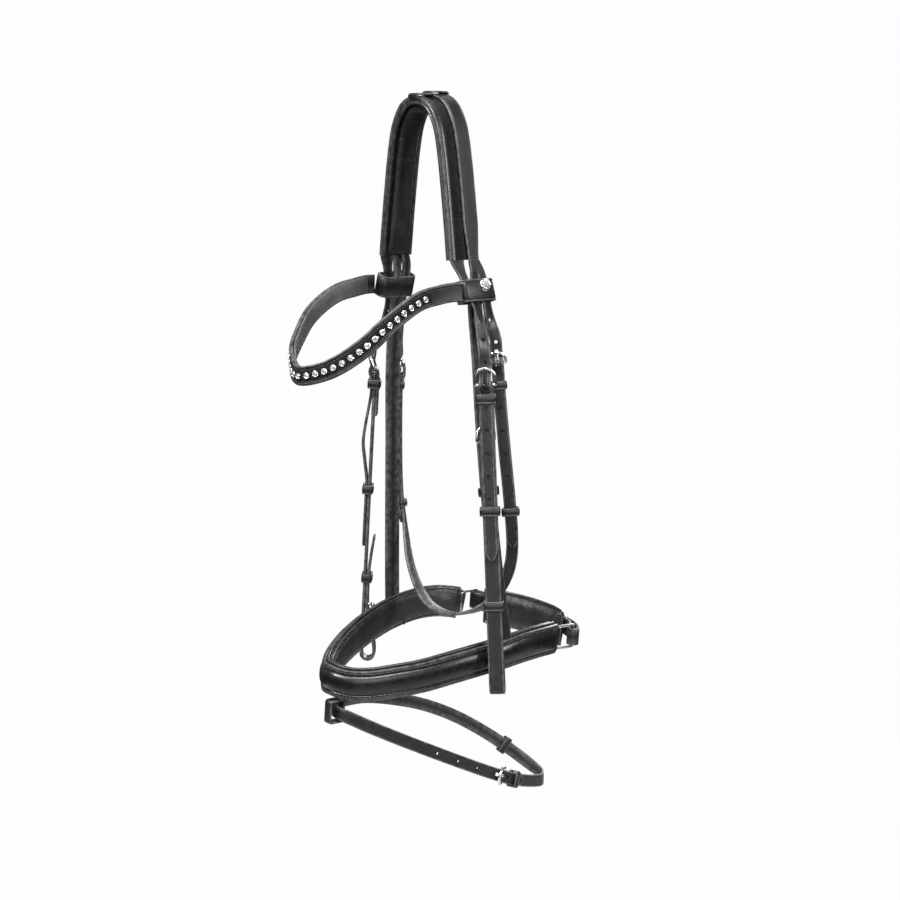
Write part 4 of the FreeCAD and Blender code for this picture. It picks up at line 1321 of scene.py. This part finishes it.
def make_chin():
    rows = part_of(CHIN_ROWS, 6, length_of(CHIN_ROWS), 2.5)
    made = pad("chin_cushion", rolled(with_width(rows, CHIN_PAD_HEIGHT - 1.6)),
               CHIN_PAD_THICK - 1.6, 0.0, SOFT, 3.2, 1.2, (170, 90, 18), 1.3, 21.0, 0.55)
    stand_for(made, "soft_lining", "chin_pad")
    bm = bmesh.new()
    loop_line = []
    total = length_of(rows)
    spots = [k * total / 24 for k in range(25)]
    edge = CHIN_PAD_HEIGHT / 2 - 0.9
    for x, order in ((-edge, spots), (edge, spots[::-1])):
        loop_line += [rolled_point(point_on(spot(rows, d), x, 0, 0)) for d in order]
    tube_mesh(bm, loop_line, 1.3, closed=True, sides=10)
    made = piece("chin_piping", bm, SMOOTH)
    stand_for(made, "leather", body="chin_strap")
    points = [behind_chin(22, LAYER_ONE + 0.3), behind_chin(10, LAYER_ONE + 0.3),
              behind_chin(1, LAYER_ONE - 0.4), Vector((66, 131.0, RING_BAR.z))]
    points += round_bar(1, (-125, -80, -35, 10, 55))
    points += [Vector((69.5, 139.0, RING_BAR.z)), behind_chin(3, LAYER_TWO - 0.6)]
    for d, dip in ((14, 1.9), (24, 1.9), (28.5, 1.0), (32.5, 0), (40, 0), (52, 0), (64, 0)):
        points.append(behind_chin(d, LAYER_TWO - dip))
    crank = rolled(smooth(banded(points, CRANK_WIDTH), 5))
    place = rolled_place(lifted(back_of_chin(CRANK_AT), LAYER_ONE + 1.8))
    made = strap("crank_strap_long", crank, SKIVED, slots=[(place, PRONG_SLOT)])
    stand_for(made, "leather", "crank_strap")
    length = length_of(CHIN_ROWS)
    points = [behind_chin(d, LAYER_ONE + 0.15)
              for d in (CRANK_AT + 4.6, 46, 60, 76, 92, length - 4)]
    points.append(Vector((-64, 125.0, RING_BAR.z)))
    points += round_bar(-1, (-120, -165, -210, -255))
    points += [Vector((-68.5, 134.0, RING_BAR.z)), Vector((-60.0, 129.5, RING_BAR.z))]
    made = strap("chin_strap_leather", rolled(smooth(banded(points, CRANK_WIDTH), 5)), SKIVED)
    stand_for(made, "leather", "chin_leather")
    buckle(place, CRANK_WIDTH + 1, 5.0, 30.0, "crank_buckle_frame", "crank_buckle_prong",
           "crank_buckle")
    keeper("crank_band", rolled_place(back_of_chin(CRANK_AT + 14)), CRANK_WIDTH,
           CHIN_PAD_THICK / 2 + 1.2, LAYER_TWO + SKIVED / 2, 8.0, 0.3, "crank_keeper")


# ---- flash strap ----
FLASH = [(28.8, 104, -691), (31.6, 90, -687), (33.4, 79, -683), (33.3, 72, -680),
         (31.3, 62, -676), (30.9, 50, -671), (33.5, 15, -655.5), (33, -23, -638),
         (29, -59, -621), (22, -92, -604.5),
         (14, -111, -594), (6, -119.5, -589), (-6, -119.5, -585.5), (-14, -110, -584.5),
         (-22, -88, -585), (-30, -55, -588.5), (-35, -13, -598.5), (-37, 28, -611.5),
         (-37.5, 71, -631), (-35, 111, -655), (-28, 136, -674), (-15, 152, -690), (0, 155, -698),
         (14, 143, -700), (22, 118, -695), (26.2, 100, -690), (28.4, 88, -686), (29.2, 77.5, -682)]
FLASH_WIDTH, FLASH_TILT = 13.0, 30.0
FLASH_HOLES, FLASH_KEEPER_AT = [12.0, 71.0, 101.0, 131.0], 540   # distances along the strap
FLASH_PIVOT = Vector((0, -120.5, -587))


def make_flash():
    rows = smooth(banded(FLASH, FLASH_WIDTH), 4)
    total = length_of(rows)
    shaped = []
    done = 0.0
    for i, row in enumerate(rows):
        if i:
            done += (Vector(row[0:3]) - Vector(rows[i - 1][0:3])).length
        shaped.append(row[:6] + (min(row[6], 2.4 + math.sqrt(done) * 3.4),))
    end = turned(spot(rows, total))
    place = lifted(shifted(end, 0, 0, -3.4), 0.7)
    made = strap("flash_strap_long", shaped, SKIVED, holes=FLASH_HOLES,
                 slots=[(place, PRONG_SLOT)])
    stand_for(made, "leather", "flash_strap")
    buckle(place, FLASH_WIDTH + 1.6, 4.0, FLASH_TILT, "flash_buckle_frame",
           "flash_buckle_prong", "flash_buckle")
    bm = bmesh.new()
    for at, low, high, height, clearance in ((total - 12, -1.5, 5.6, 7, 0.5),
                                             (FLASH_KEEPER_AT, -1.3, 1.3, 8, 0.8)):
        band = loop_rows(spot(rows, at), FLASH_WIDTH, low, high, height, clearance)
        closed_strap_mesh(bm, band, 1.8, KEEPER_FACE)
    made = piece("flash_bands", bm, BRIDLE)
    stand_for(made, "leather", "flash_keepers")
    loop_at = (FLASH_PIVOT, ROLL @ Vector((-1, 0, 0)), ROLL @ Vector((0, 0, 1)),
               Vector((0, -1, 0)))
    bm = bmesh.new()
    closed_strap_mesh(bm, loop_rows(loop_at, 20.0, -7.0, 7.0, 10, 0.2), 2.1, KEEPER_FACE)
    made = piece("flash_carrier", bm, BRIDLE)
    stand_for(made, "leather", "flash_loop")


set_camera()
set_studio()
make_crown()
make_headstrap()
make_poll_keeper()
make_browband()
make_browband_loops()
make_cheek("near", 0.0, 172.0)
make_cheek("off", 5.5, 184.0)
make_throatlash()
make_noseband()
make_hanger_buckle()
make_chin()
make_flash()
